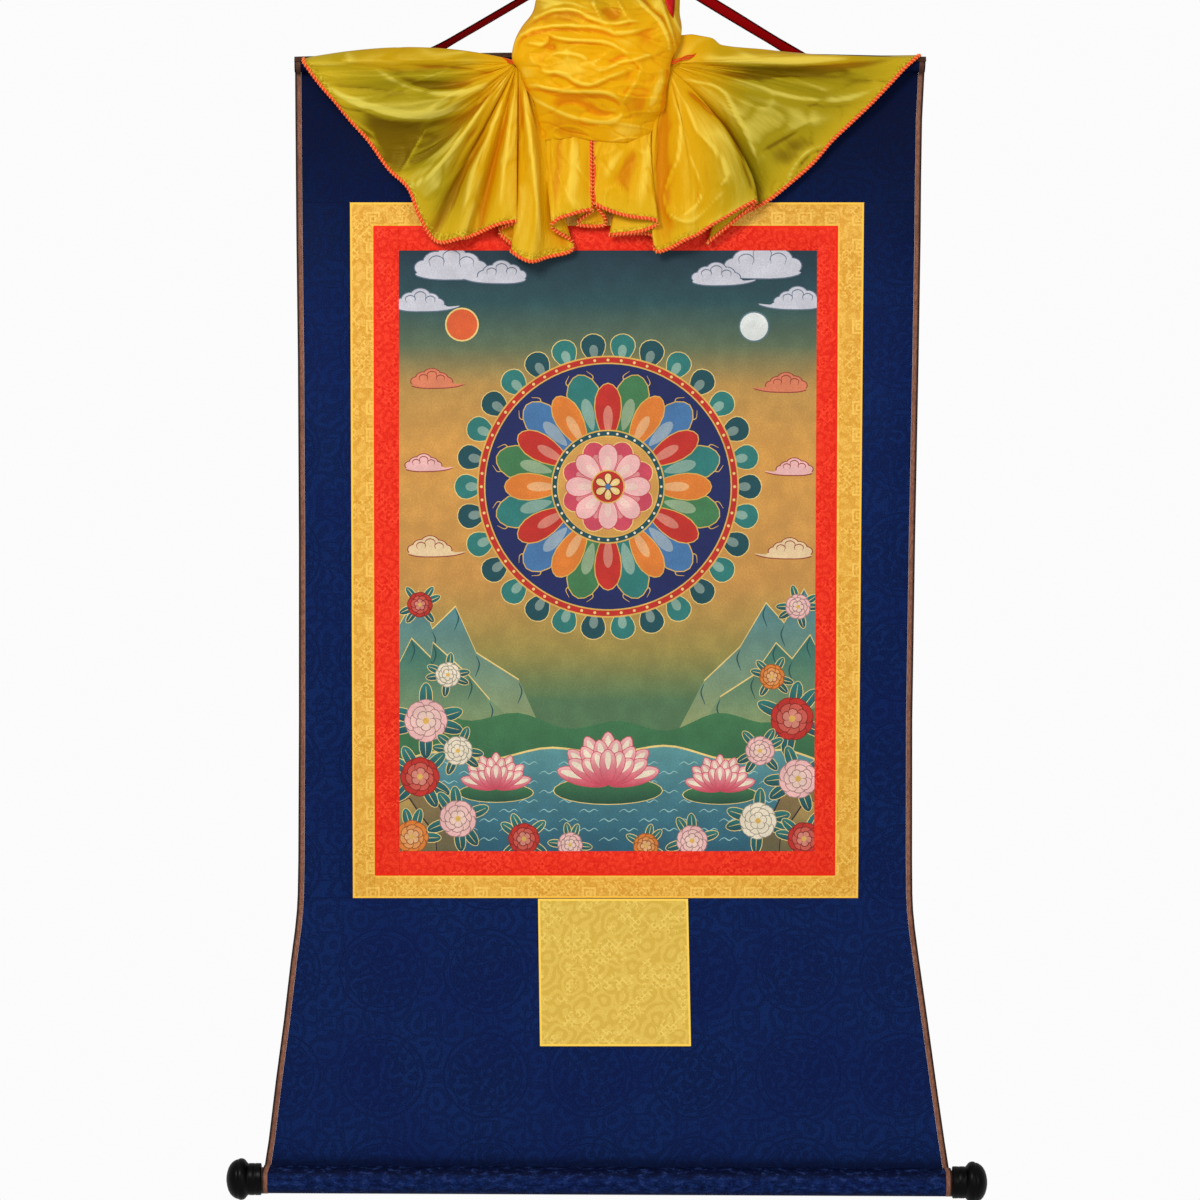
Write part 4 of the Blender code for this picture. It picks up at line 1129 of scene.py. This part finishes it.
def paint_land(picture):
    """Evening sky, banks of cloud, peaks, hills and a pond."""
    bands = ((0, (26, 52, 66)), (50, (40, 78, 84)), (95, (96, 112, 84)), (135, (190, 146, 76)),
             (200, (216, 156, 74)), (330, (204, 148, 74)), (400, (158, 142, 72)), (450, (84, 120, 82)),
             (610, (86, 118, 82)))
    for (upper, head), (lower, foot) in zip(bands, bands[1:]):
        picture.fill([(-PICTURE_EDGE, upper), (PICTURE_EDGE, upper), (PICTURE_EDGE, lower),
                      (-PICTURE_EDGE, lower)], head, foot)
    picture.rings((-146, 74), 24, (17, PALE_GOLD), (15.4, (226, 96, 48)))
    picture.rings((146, 76), 24, (15.4, (92, 120, 130)), (14, (226, 230, 226)))
    for x, y, size, lean in ((-160, 16, 30, -1), (-104, 24, 20, 1), (158, 14, 32, 1), (106, 26, 20, -1),
                             (-190, 52, 20, -1), (192, 50, 20, 1)):
        picture.cloud((x, y), size, (206, 206, 216), (98, 112, 132), lean)
    for left, right, size, shade in (((-178, 130), (180, 134), 17, (222, 128, 92)),
                                     ((-186, 214), (188, 218), 15, PINK),
                                     ((-180, 298), (184, 300), 18, (236, 206, 160))):
        picture.cloud(left, size, shade, (150, 62, 50), -1)
        picture.cloud(right, size, shade, (150, 62, 50), 1)
    far = ((215, 372), (196, 338), (176, 372), (158, 352), (132, 396), (96, 430), (70, 480), (215, 480))
    near = ((215, 410), (202, 384), (184, 408), (168, 392), (146, 424), (112, 446), (84, 490), (215, 490))
    for lean in (-1, 1):
        for peak, tone in ((far, (74, 128, 140)), (near, (52, 112, 104))):
            outline = [(lean * x + (lean < 0) * 7 * math.sin(x), y + (lean < 0) * 6 * math.cos(x))
                       for x, y in peak]
            picture.fill(outline, tone, (150, 160, 104))
            for a, b in zip(outline[:6], outline[1:6]):
                picture.fill([(a[0], a[1] - 0.8), (b[0], b[1] - 0.8), (b[0], b[1] + 0.8), (a[0], a[1] + 0.8)],
                             PALE_GOLD)
            for x, y in outline[1:6]:
                picture.line([(x, y + 3), (x - lean * 3, y + 12), (x + lean, y + 24)], 1.4, (30, 80, 84))
    picture.fill(bank([(-215, 470), (-180, 456), (-140, 470), (-90, 462), (-40, 478), (10, 470), (60, 480),
                       (110, 462), (160, 472), (215, 454)]), GREEN, DEEP_GREEN)
    shore = [(-215, 512), (-170, 500), (-120, 508), (-60, 496), (0, 502), (60, 494), (120, 508), (172, 498),
             (215, 510)]
    picture.fill(bank(shore), PALE_GOLD)
    picture.fill(bank([(x, y + 2) for x, y in shore]), (92, 150, 152), (34, 86, 108))
    for row in range(9):
        for k in range(11):
            x, y = -200 + 40 * k + 20 * (row % 2), 512 + 9.5 * row
            picture.line([(x - 9, y + 2), (x - 4, y - 1), (x + 1, y + 1.6), (x + 6, y - 1), (x + 10, y + 1)],
                         0.9, (158, 200, 194))


def paint_roundel(picture, centre):
    """A lotus roundel: leaves, a dotted band, two rings of petals and a flower in the middle."""
    picture.petals(centre, 30, 124, 30, 25, (TEAL, DEEP_TEAL), PALE_GOLD, 6)
    picture.rings(centre, 90, (131, GOLD_PAINT), (129.4, RED), (124, GOLD_PAINT), (122.6, NAVY))
    picture.dots(centre, 60, 126.6, 1.5, PALE_GOLD)
    for i in range(12):
        for lean in (-1, 1):
            curl = [(lean * x, y) for x, y in ((9, -117), (14, -110), (8, -104), (3, -109), (7, -113))]
            picture.line(turned(curl, 30 * i + 15, centre), 1.1, GOLD_PAINT)
    picture.petals(centre, 12, 50, 66, 34, (GREEN, SKY_BLUE, TEAL), GOLD_PAINT, 15, 1.0)
    picture.petals(centre, 12, 44, 60, 27, (RED, ORANGE), GOLD_PAINT, 0, 1.0)
    picture.rings(centre, 60, (57, GOLD_PAINT), (55.6, DEEP_TEAL), (51, GOLD_PAINT), (49.8, (214, 158, 78)))
    picture.dots(centre, 36, 53.3, 1.3, CREAM)
    picture.petals(centre, 8, 12, 36, 24, (ROSE,), PALE_GOLD, 22.5)
    picture.petals(centre, 8, 10, 33, 20, (PINK,), ROSE)
    picture.rings(centre, 24, (17, GOLD_PAINT), (15.6, RED))
    picture.petals(centre, 6, 2, 12, 8, (PALE_GOLD,), (120, 24, 22))
    picture.rings(centre, 12, (3, SKY_BLUE))


def paint_garden(picture):
    """Lotuses on the pond, rocks and peonies along its banks."""
    for x, y, size in ((-112, 538, 40), (112, 540, 40), (0, 534, 58)):
        picture.lotus((x, y), size)
    far = ((215, 528), (196, 520), (178, 534), (166, 560), (150, 572), (146, 610), (215, 610))
    near = ((215, 556), (198, 548), (186, 566), (172, 584), (170, 610), (215, 610))
    for lean in (-1, 1):
        for rock, tone in ((far, (150, 118, 70)), (near, (188, 152, 84))):
            picture.fill([(lean * x, y - 1.2) for x, y in rock], INK)
            picture.fill([(lean * x + lean, y) for x, y in rock], tone, (96, 92, 66))
    flowers = ((-182, 470, 22, PINK), (-150, 500, 15, CREAM), (-188, 526, 20, RED), (-150, 568, 19, PINK),
               (-196, 586, 17, ORANGE), (184, 468, 22, RED), (152, 500, 15, PINK), (190, 528, 20, PINK),
               (150, 570, 19, CREAM), (196, 588, 17, RED), (-84, 588, 16, RED), (84, 590, 16, PINK),
               (-38, 594, 13, PINK), (38, 595, 13, ORANGE), (-188, 354, 13, RED), (190, 356, 13, PINK),
               (-160, 424, 13, CREAM), (164, 426, 13, ORANGE))
    for i, (x, y, radius, shade) in enumerate(flowers):
        picture.peony((x, y), radius, shade, 23 * i)


def make_picture():
    """The canvas with a painted lotus roundel over a pond, in the greens, ochres and reds of its kind."""
    picture = Picture()
    paint_land(picture)
    paint_roundel(picture, (0, 236))
    paint_garden(picture)
    middle, top = (PAINTING.top_left[0] + PAINTING.top_right[0]) / 2, PAINTING.top_left[1]
    canvas = picture.mesh("painted_canvas", PAINTING, middle, top, FRONT)
    back_with_cloth(canvas, CLOTH)
    fit(canvas, "painting")
    return canvas


canvas = make_picture()


# --- Finishes ---


def math_node(operation, reflected=False):
    """A method that adds a Math node to its field's finish."""
    def method(self, *others):
        values = (self, *others)
        return self.finish.node("Math", {"operation": operation},
                                dict(enumerate(reversed(values) if reflected else values)))
    return method


class Field:
    """What a node's output holds over a surface. Operators on it add Math nodes."""

    __add__ = __radd__ = math_node("ADD")
    __mul__ = __rmul__ = math_node("MULTIPLY")
    __sub__, __rsub__ = math_node("SUBTRACT"), math_node("SUBTRACT", reflected=True)
    __truediv__, __rtruediv__ = math_node("DIVIDE"), math_node("DIVIDE", reflected=True)
    __pow__, __rpow__ = math_node("POWER"), math_node("POWER", reflected=True)
    __abs__, sine, wrap = math_node("ABSOLUTE"), math_node("SINE"), math_node("WRAP")
    least, most = math_node("MINIMUM"), math_node("MAXIMUM")

    def __init__(self, finish, socket):
        self.finish = finish
        self.socket = socket

    def repeat(self, length):
        """The place within a repeat, from minus to plus half its length."""
        return self.wrap(length / 2, -length / 2)

    def eased(self, low, high):
        """0 up to low and 1 from high on, or the other way round where low is over high."""
        return self.finish.node("MapRange", {"interpolation_type": "SMOOTHSTEP"},
                                {"Value": self, "From Min": low, "From Max": high})

    def line(self, middle, width):
        """1 within a line's width of a value, with soft edges."""
        return abs(self - middle).eased(width * 0.62, width * 0.38)


class Finish:
    """A material, and the nodes that work out what changes over its surface."""

    def __init__(self, name, **settings):
        self.material = bpy.data.materials.new(name)
        self.material.use_nodes = True
        self.tree = self.material.node_tree
        self.shader = self.tree.nodes["Principled BSDF"]
        for setting, value in settings.items():
            self.shader.inputs[setting.replace("_", " ")].default_value = value

    def node(self, kind, settings=None, inputs=None, output=0):
        """A node of a kind, its settings made first and then its sockets' values or links."""
        node = self.tree.nodes.new("ShaderNode" + kind)
        for setting, value in (settings or {}).items():
            setattr(node, setting, value)
        for socket, value in (inputs or {}).items():
            if isinstance(value, Field):
                self.tree.links.new(value.socket, node.inputs[socket])
            else:
                node.inputs[socket].default_value = value
        return Field(self, node.outputs[output])

    def place(self, from_uv=False):
        """(x, drop) in mm: on the piece's UV map, or on the object itself."""
        where = self.node("UVMap", {"uv_map": "cloth"}) if from_uv else self.node("TexCoord", output="Object")
        across = self.node("SeparateXYZ", inputs={0: where}, output=0)
        down = self.node("SeparateXYZ", inputs={0: where}, output=1 if from_uv else 2)
        return across * 1000.0, down * (1000.0 if from_uv else -1000.0)

    def at(self, x, y):
        return self.node("CombineXYZ", inputs={0: x, 1: y})

    def noise(self, x, y, size, detail=2.0, roughness=0.5):
        return self.node("TexNoise", {"noise_dimensions": "2D"}, {
            "Vector": self.at(x, y), "Scale": 1 / size, "Detail": detail, "Roughness": roughness})

    def cells(self, x, y, size):
        """How far a place lies from its cell's middle."""
        return self.node("TexVoronoi", {"voronoi_dimensions": "2D"},
                         {"Vector": self.at(x, y), "Scale": 1 / size}, "Distance")

    def blend(self, factor, first, second):
        """Colours mixed: the first where the factor is 0."""
        return self.node("Mix", {"data_type": "RGBA", "clamp_factor": True},
                         {0: factor, 6: first, 7: second}, 2)

    def layers(self, base, *over):
        """A colour with others laid over it, each by its own factor."""
        for factor, shade in over:
            base = self.blend(factor, base, shade)
        return base

    def mark(self, name, output="Fac"):
        return self.node("Attribute", {"attribute_name": name}, output=output)

    def set(self, **values):
        for socket, value in values.items():
            self.tree.links.new(value.socket, self.shader.inputs[socket.replace("_", " ")])

    def raise_by(self, height, distance, strength=1.0):
        """Relief in mm, as a bump."""
        normal = self.node("Bump", inputs={"Height": height, "Distance": distance * MM, "Strength": strength})
        self.tree.links.new(normal.socket, self.shader.inputs["Normal"])


def weave(x, y, pitch):
    """Threads over and under each other, 0 to 1."""
    return (x * (math.pi / pitch)).sine() * (y * (math.pi / pitch)).sine() * 0.5 + 0.5


def scrolls(finish, x, y, size, rings, line=0.35):
    """Curling lines round the cells of a brocade's ground, 0 to 1."""
    bend = finish.noise(x, y, size * 1.3) - 0.5
    distance = finish.cells(x + bend * size * 0.8, y - bend * size * 0.8, size)
    return (distance * (rings * 2 * math.pi)).sine().eased(-line, line)


def lattice(finish, x, y):
    """Short slanting stitches in a diagonal fret, 0 to 1."""
    falling, rising = (abs(slant.repeat(6.4)).eased(1.5, 0.9) for slant in (x + y, x - y))
    return falling.most(rising) * finish.noise(x, y, 5.0).eased(0.42, 0.54)


ROUNDEL_PITCH = 104.0


def blue_brocade(name, from_uv):
    """Dark blue, with roundels, small frets and scrolls in the same blue, raised a little.

    It has painted shade near the heading, on the sheet where it meets the roll, under the roll and over its
    top, and the roll's front is mottled with a painted sheen and darker patches.
    """
    finish = Finish(name, Roughness=0.62, Specular_IOR_Level=0.06)
    x, y = finish.place(from_uv)
    grid = (x + 26.0, y + 18.0)
    roundel_x, roundel_y = (axis.repeat(ROUNDEL_PITCH) for axis in grid)
    away = (roundel_x * roundel_x + roundel_y * roundel_y) ** 0.5
    ring = away.line(42.0, 2.4).most(away.line(36.0, 1.6))
    fret_x, fret_y = (abs(axis.repeat(ROUNDEL_PITCH / 2)) for axis in grid)
    square = fret_x.most(fret_y)
    fret = square.line(13.0, 2.0).most(square.line(7.0, 1.6)) * away.eased(44.0, 47.0)
    figure = ring.most(scrolls(finish, x, y, 24.0, 2.6, 0.7) * 0.8).most(fret * 0.8).most(
        scrolls(finish, y, x, 14.0, 2.0) * away.eased(36.0, 33.0))
    grain = finish.noise(x, y, 1.3, 3.0, 0.7)
    patches = finish.noise(x, y, 90.0, 3.0)
    sheen_mottle = finish.noise(x * 0.45, y, 5.0, 4.0, 0.8)
    # painted shade towards the heading, where the sheet meets the roll, under it and over its top; painted
    # sheen and darker mottle on the roll's front
    below_axis = y - rod_axis_drop(x)
    on_roll = below_axis.eased(16, 24)
    shaded = below_axis.eased(-25, -15) - below_axis.eased(24, 34) + below_axis.eased(43, 51) * 1.5
    base = finish.layers(colour(0, 12, 52),
                         ((grain * 1.5 - figure * 0.26 - 0.15).eased(0.0, 1.0), colour(16, 42, 96)),
                         (patches.eased(0.35, 0.75) * 0.3, colour(6, 18, 74)),
                         (y.eased(430, 150) * 0.75 + shaded * 0.55, colour(0, 4, 30)),
                         (sheen_mottle.eased(0.52, 0.68) * on_roll * 0.55, colour(40, 60, 116)),
                         (sheen_mottle.eased(0.5, 0.36) * on_roll * 0.7, colour(0, 4, 32)))
    finish.set(Base_Color=base, Roughness=0.74 - figure * 0.14)
    finish.raise_by(figure * 0.5 + grain * 0.5 + weave(x, y, 0.55) * 0.15 + patches * 2.2, 0.35, 0.8)
    return finish.material


def edge_distance(x, drop, corners):
    """How far inside an outline of four corners a place lies, in mm."""
    left = x - leaning(corners.top_left, corners.bottom_left, drop)
    right = leaning(corners.top_right, corners.bottom_right, drop) - x
    return left.least(right).least((drop - corners.top_left[1]).least(corners.bottom_left[1] - drop))


def strip_brocade(name, ground, figure_colour, edge_highlight_colour, outer, inner, size, strength, fretted):
    """A frame's brocade: scrolls on a ground, and a painted highlight on its folded edges along both
    outlines.
    """
    finish = Finish(name, Roughness=0.5, Specular_IOR_Level=0.12)
    x, drop = finish.place()
    grain = finish.noise(x, drop, 1.9, 3.0, 0.8)
    patches = finish.noise(x, drop, 30.0, 2.0)
    figure = (scrolls(finish, x, drop, size, 2.0, 0.6) * 0.5).most(
        lattice(finish, x, drop) * patches.eased(0.5, 0.42))
    if fretted:
        square = abs(x.repeat(27.0)).most(abs(drop.repeat(27.0)))
        figure = figure.most(square.line(6.0, 2.2).most(square.line(2.4, 2.0)) * patches.eased(0.4, 0.5))
    # painted highlight along the folded outer edge, and fainter along the inner one
    rim = edge_distance(x, drop, outer).eased(2.6, 1.2)
    if inner:
        rim = rim.most(abs(edge_distance(x, drop, inner)).eased(2.6, 0.8) * 0.45)
    base = finish.layers(ground,
                         ((figure * 0.5 + grain * 1.5 - 0.55).eased(0.0, 1.0) * strength, figure_colour),
                         (patches.eased(0.4, 0.8) * 0.2, figure_colour),
                         (rim, edge_highlight_colour))
    finish.set(Base_Color=base, Roughness=0.6 - figure * 0.16)
    finish.raise_by(figure * 0.5 + grain * 0.7 + weave(x, drop, 0.6) * 0.2, 0.35, 0.9)
    return finish.material


def door_brocade():
    """Pale gold, with the strips' scrolls and lattice, and a painted highlight along its turned-in rim."""
    finish = Finish("door_brocade", Roughness=0.5, Specular_IOR_Level=0.12)
    x, drop = finish.place()
    grain = finish.noise(x, drop, 1.3, 3.0, 0.75)
    clouds = finish.noise(x, drop, 26.0, 2.0)
    figure = (scrolls(finish, x, drop, 20.0, 2.6, 0.7) * 0.5).most(
        lattice(finish, x, drop) * clouds.eased(0.46, 0.55))
    # the last layer is a painted highlight along the turned-in rim
    base = finish.layers(colour(204, 166, 62),
                         ((figure * 0.5 + grain * 0.9 - 0.26).eased(0.0, 1.0), colour(238, 206, 104)),
                         (edge_distance(x, drop, DOOR).eased(2.4, 1.6), colour(252, 208, 84)))
    finish.set(Base_Color=base, Roughness=0.58 - figure * 0.16)
    finish.raise_by(figure * 0.5 + grain * 0.5, 0.3, 0.8)
    return finish.material


def binding_satin():
    """Copper-brown binding with painted shade, near black, along its outer fold and near the heading."""
    finish = Finish("binding_satin", Roughness=0.5, Specular_IOR_Level=0.15)
    x, y = finish.place(from_uv=True)
    grain = finish.noise(x, y * 0.3, 1.5, 3.0, 0.7)
    along = finish.noise(x * 0.2, y, 26.0, 3.0)
    # painted shade along the outer fold and towards the heading
    dark = finish.mark("from_edge").eased(3.2, 0.9).most(y.eased(190, 130) * 0.7)
    finish.set(Base_Color=finish.layers(colour(110, 66, 50),
                                        (grain.eased(0.3, 0.7), colour(146, 98, 76)),
                                        (along.eased(0.45, 0.8) * 0.5, colour(96, 54, 40)),
                                        (dark, colour(22, 9, 6))))
    finish.raise_by(grain + (y * (math.pi / 0.9)).sine() * 0.3, 0.15)
    return finish.material


def yellow_satin():
    """Thin satin: olive over the dark mount, golden in the middle, with painted shade in its troughs and
    painted highlights on its ridges, and painted glints and shade where its hem puckers.

    Its faint emission all over it is painted light, standing for light that comes through the cloth where
    folds lie close together.
    """
    finish = Finish("yellow_satin_cloth", Specular_IOR_Level=0.42, Specular_Tint=(1.0, 0.72, 0.12, 1.0),
                    Emission_Strength=0.1)
    u, v = finish.place(from_uv=True)
    warm, pucker_glints_and_shade = finish.mark("warmth"), finish.mark("pucker_glints_and_shade")
    streaks = finish.noise(u, v * 0.22, 7.0, 3.0, 0.6)
    gathers = finish.noise(u, v, 2.6, 1.0)
    crinkle = finish.noise(u, v * 0.4, 2.6, 3.0, 0.6)
    # the fold mark, broken up by streaks, chooses painted trough shade or painted ridge highlight
    level = finish.mark("fold") + (streaks - 0.5) * 0.22
    # each olive and golden: plain colour, painted trough shade, painted ridge highlight, painted glow
    plain, trough_shade, ridge_highlight, painted_glow = (
        finish.blend(warm, colour(*olive), colour(*golden))
        for olive, golden in (((148, 130, 14), (216, 158, 2)), ((102, 78, 0), (206, 122, 0)),
                              ((200, 184, 76), (230, 190, 56)), ((70, 58, 0), (214, 104, 0))))
    base = finish.layers(plain,
                         (finish.mark("hem") * 0.6, colour(200, 166, 28)),
                         (level.eased(0.5, 0.12), trough_shade),
                         (level.eased(0.56, 0.95), ridge_highlight),
                         # painted shade and painted glints where the hem puckers
                         (pucker_glints_and_shade * gathers.eased(0.62, 0.38) * 0.6, colour(122, 104, 0)),
                         (pucker_glints_and_shade * gathers.eased(0.5, 0.7) * 0.5, colour(206, 190, 60)))
    # Emission Color: a faint painted glow for light coming through the cloth
    finish.set(Base_Color=base, Roughness=0.34 + streaks * 0.16, Emission_Color=painted_glow)
    finish.raise_by(crinkle * 0.8 + streaks * 1.2 + weave(u, v, 0.4) * 0.05, 0.55, 0.7)
    return finish.material


def thread(name, deep, light, size, relief, pale=None):
    """Fine thread between two colours, and a third, a painted highlight, where the piece is marked pale."""
    finish = Finish(name, Roughness=0.5, Specular_IOR_Level=0.2)
    grain = finish.noise(*finish.place(), size, 3.0, 0.7)
    base = finish.blend(grain.eased(0.3, 0.7), deep, light)
    finish.set(Base_Color=finish.blend(finish.mark("pale"), base, pale) if pale else base)
    finish.raise_by(grain, relief)
    return finish.material


def red_tape():
    """Woven tape: ribs across it, and darker along both its edges."""
    finish = Finish("red_woven_tape", Roughness=0.7, Specular_IOR_Level=0.03)
    u, v = finish.place(from_uv=True)
    ribs = (v * (2 * math.pi / 1.1)).sine() * 0.5 + 0.5
    grain = finish.noise(u, v, 1.2, 3.0, 0.7)
    finish.set(Base_Color=finish.layers(colour(104, 0, 2),
                                        ((ribs * 0.4 + grain * 0.6).eased(0.2, 0.9), colour(160, 2, 6)),
                                        (abs(u).eased(3.6, 4.8) * 0.92, colour(22, 0, 0))))
    finish.raise_by(ribs * 0.6 + grain * 0.4, 0.2)
    return finish.material


def black_lacquer():
    """Turned wood under black lacquer, with fine turning lines and smudges."""
    finish = Finish("knob_lacquer", Roughness=0.3, Specular_IOR_Level=0.09)
    x, drop = finish.place()
    lines = (x * (2 * math.pi / 1.3)).sine() * 0.5 + 0.5
    smudge = finish.noise(x, drop, 9.0, 4.0, 0.6)
    finish.set(Base_Color=finish.blend(smudge.eased(0.35, 0.8), colour(1, 1, 1), colour(7, 5, 5)),
               Roughness=0.24 + smudge * 0.22)
    finish.raise_by(lines * 0.2 + smudge * 0.3, 0.12, 0.6)
    return finish.material


def dark_wood():
    finish = Finish("rod_wood", Roughness=0.55)
    x, drop = finish.place()
    grain = finish.noise(x * 0.06, drop, 1.2, 4.0, 0.6)
    finish.set(Base_Color=finish.blend(grain.eased(0.3, 0.7), colour(42, 22, 17), colour(88, 48, 34)))
    finish.raise_by(grain, 0.15)
    return finish.material


def painted_canvas():
    """Matt paint on a fine canvas, a little uneven, as in print."""
    finish = Finish("paint_on_canvas", Roughness=0.72, Specular_IOR_Level=0.3)
    x, drop = finish.place()
    grain = finish.noise(x, drop, 1.6, 3.0, 0.7)
    wash = finish.noise(x, drop, 22.0, 3.0, 0.6)
    paint = finish.mark("paint", "Color")
    dark = finish.blend(0.28, paint, (0.0, 0.0, 0.0, 1.0))
    finish.set(Base_Color=finish.blend((grain * 0.7 + wash * 0.6 - 0.25).eased(0.75, 0.2), paint, dark),
               Roughness=0.78 - grain * 0.16)
    finish.raise_by(weave(x, drop, 0.8) * 0.5 + grain * 0.5, 0.08)
    return finish.material


def dress(material, *pieces):
    for piece in pieces:
        piece.data.materials.clear()
        piece.data.materials.append(material)


dress(blue_brocade("blue_brocade_cloth", from_uv=False), *mount_sides)
dress(blue_brocade("blue_brocade_shaped", from_uv=True), mount_top, mount_bottom)
# each frame's third colour is the painted highlight on its folded edges
dress(strip_brocade("gold_brocade_cloth", colour(206, 144, 40), colour(252, 206, 100), colour(252, 196, 70),
                    GOLD_OUTER, RED_OUTER, 16.0, 0.8, fretted=True),
      *gold_strips)
dress(strip_brocade("red_brocade_cloth", colour(212, 22, 4), colour(254, 72, 40), colour(236, 36, 10),
                    RED_OUTER, None, 12.0, 0.9, fretted=False),
      *red_strips)
dress(door_brocade(), door)
dress(binding_satin(), binding_left, binding_right, binding_top)
dress(yellow_satin(), cover, gathered)
# pale: the painted highlight on each stitch
dress(thread("orange_thread", colour(204, 44, 6), colour(246, 84, 20), 1.2, 0.2, pale=colour(252, 142, 78)),
      stitching)
ribbon_red = colour(206, 8, 8)
dress(thread("red_ribbon", tuple(0.7 * value for value in ribbon_red[:3]) + (1.0,), ribbon_red, 1.0, 0.12),
      ribbon_end)
dress(red_tape(), tape)
dress(black_lacquer(), *knobs)
dress(dark_wood(), *(frame["nodes"][rod] for rod in ("top_rod", "bottom_rod")))
dress(painted_canvas(), canvas)


# --- Room and light ---


def lamp(name, location, aim, power, size, tint=(1, 1, 1)):
    bpy.ops.object.light_add(type="AREA", location=location)
    light = bpy.context.object
    light.name = name
    light.data.energy, light.data.size, light.data.color = power, size, tint
    light.rotation_euler = (Vector(aim) - Vector(location)).to_track_quat("-Z", "Y").to_euler()


def make_room():
    deselect()
    bpy.ops.mesh.primitive_circle_add(vertices=96, radius=1.7, fill_type="NGON", location=(0, 0, -1.5))
    floor = bpy.context.object
    floor.name = "floor"
    bpy.ops.object.transform_apply(location=True)
    paint = Finish("pale_floor", Roughness=0.8)
    paint.shader.inputs["Base Color"].default_value = (0.82, 0.82, 0.82, 1)
    dress(paint.material, floor)
    lamp("key", (-1.3, -2.8, 1.1), (0, 0, -0.45), 72, 1.1, (1.0, 0.985, 0.96))
    lamp("fill", (1.9, -2.9, -0.2), (0, 0, -0.6), 24, 1.8)
    world = bpy.data.worlds.new("studio")
    bpy.context.scene.world = world
    world.use_nodes = True
    background = world.node_tree.nodes["Background"]
    background.inputs["Color"].default_value = (1, 1, 1, 1)
    seen = world.node_tree.nodes.new("ShaderNodeLightPath")
    strength = world.node_tree.nodes.new("ShaderNodeMath")
    strength.operation = "MULTIPLY_ADD"
    strength.inputs[1].default_value, strength.inputs[2].default_value = 0.5, 0.47
    world.node_tree.links.new(seen.outputs["Is Camera Ray"], strength.inputs[0])
    world.node_tree.links.new(strength.outputs[0], background.inputs["Strength"])
    bpy.context.scene.view_settings.view_transform = "Standard"


make_room()
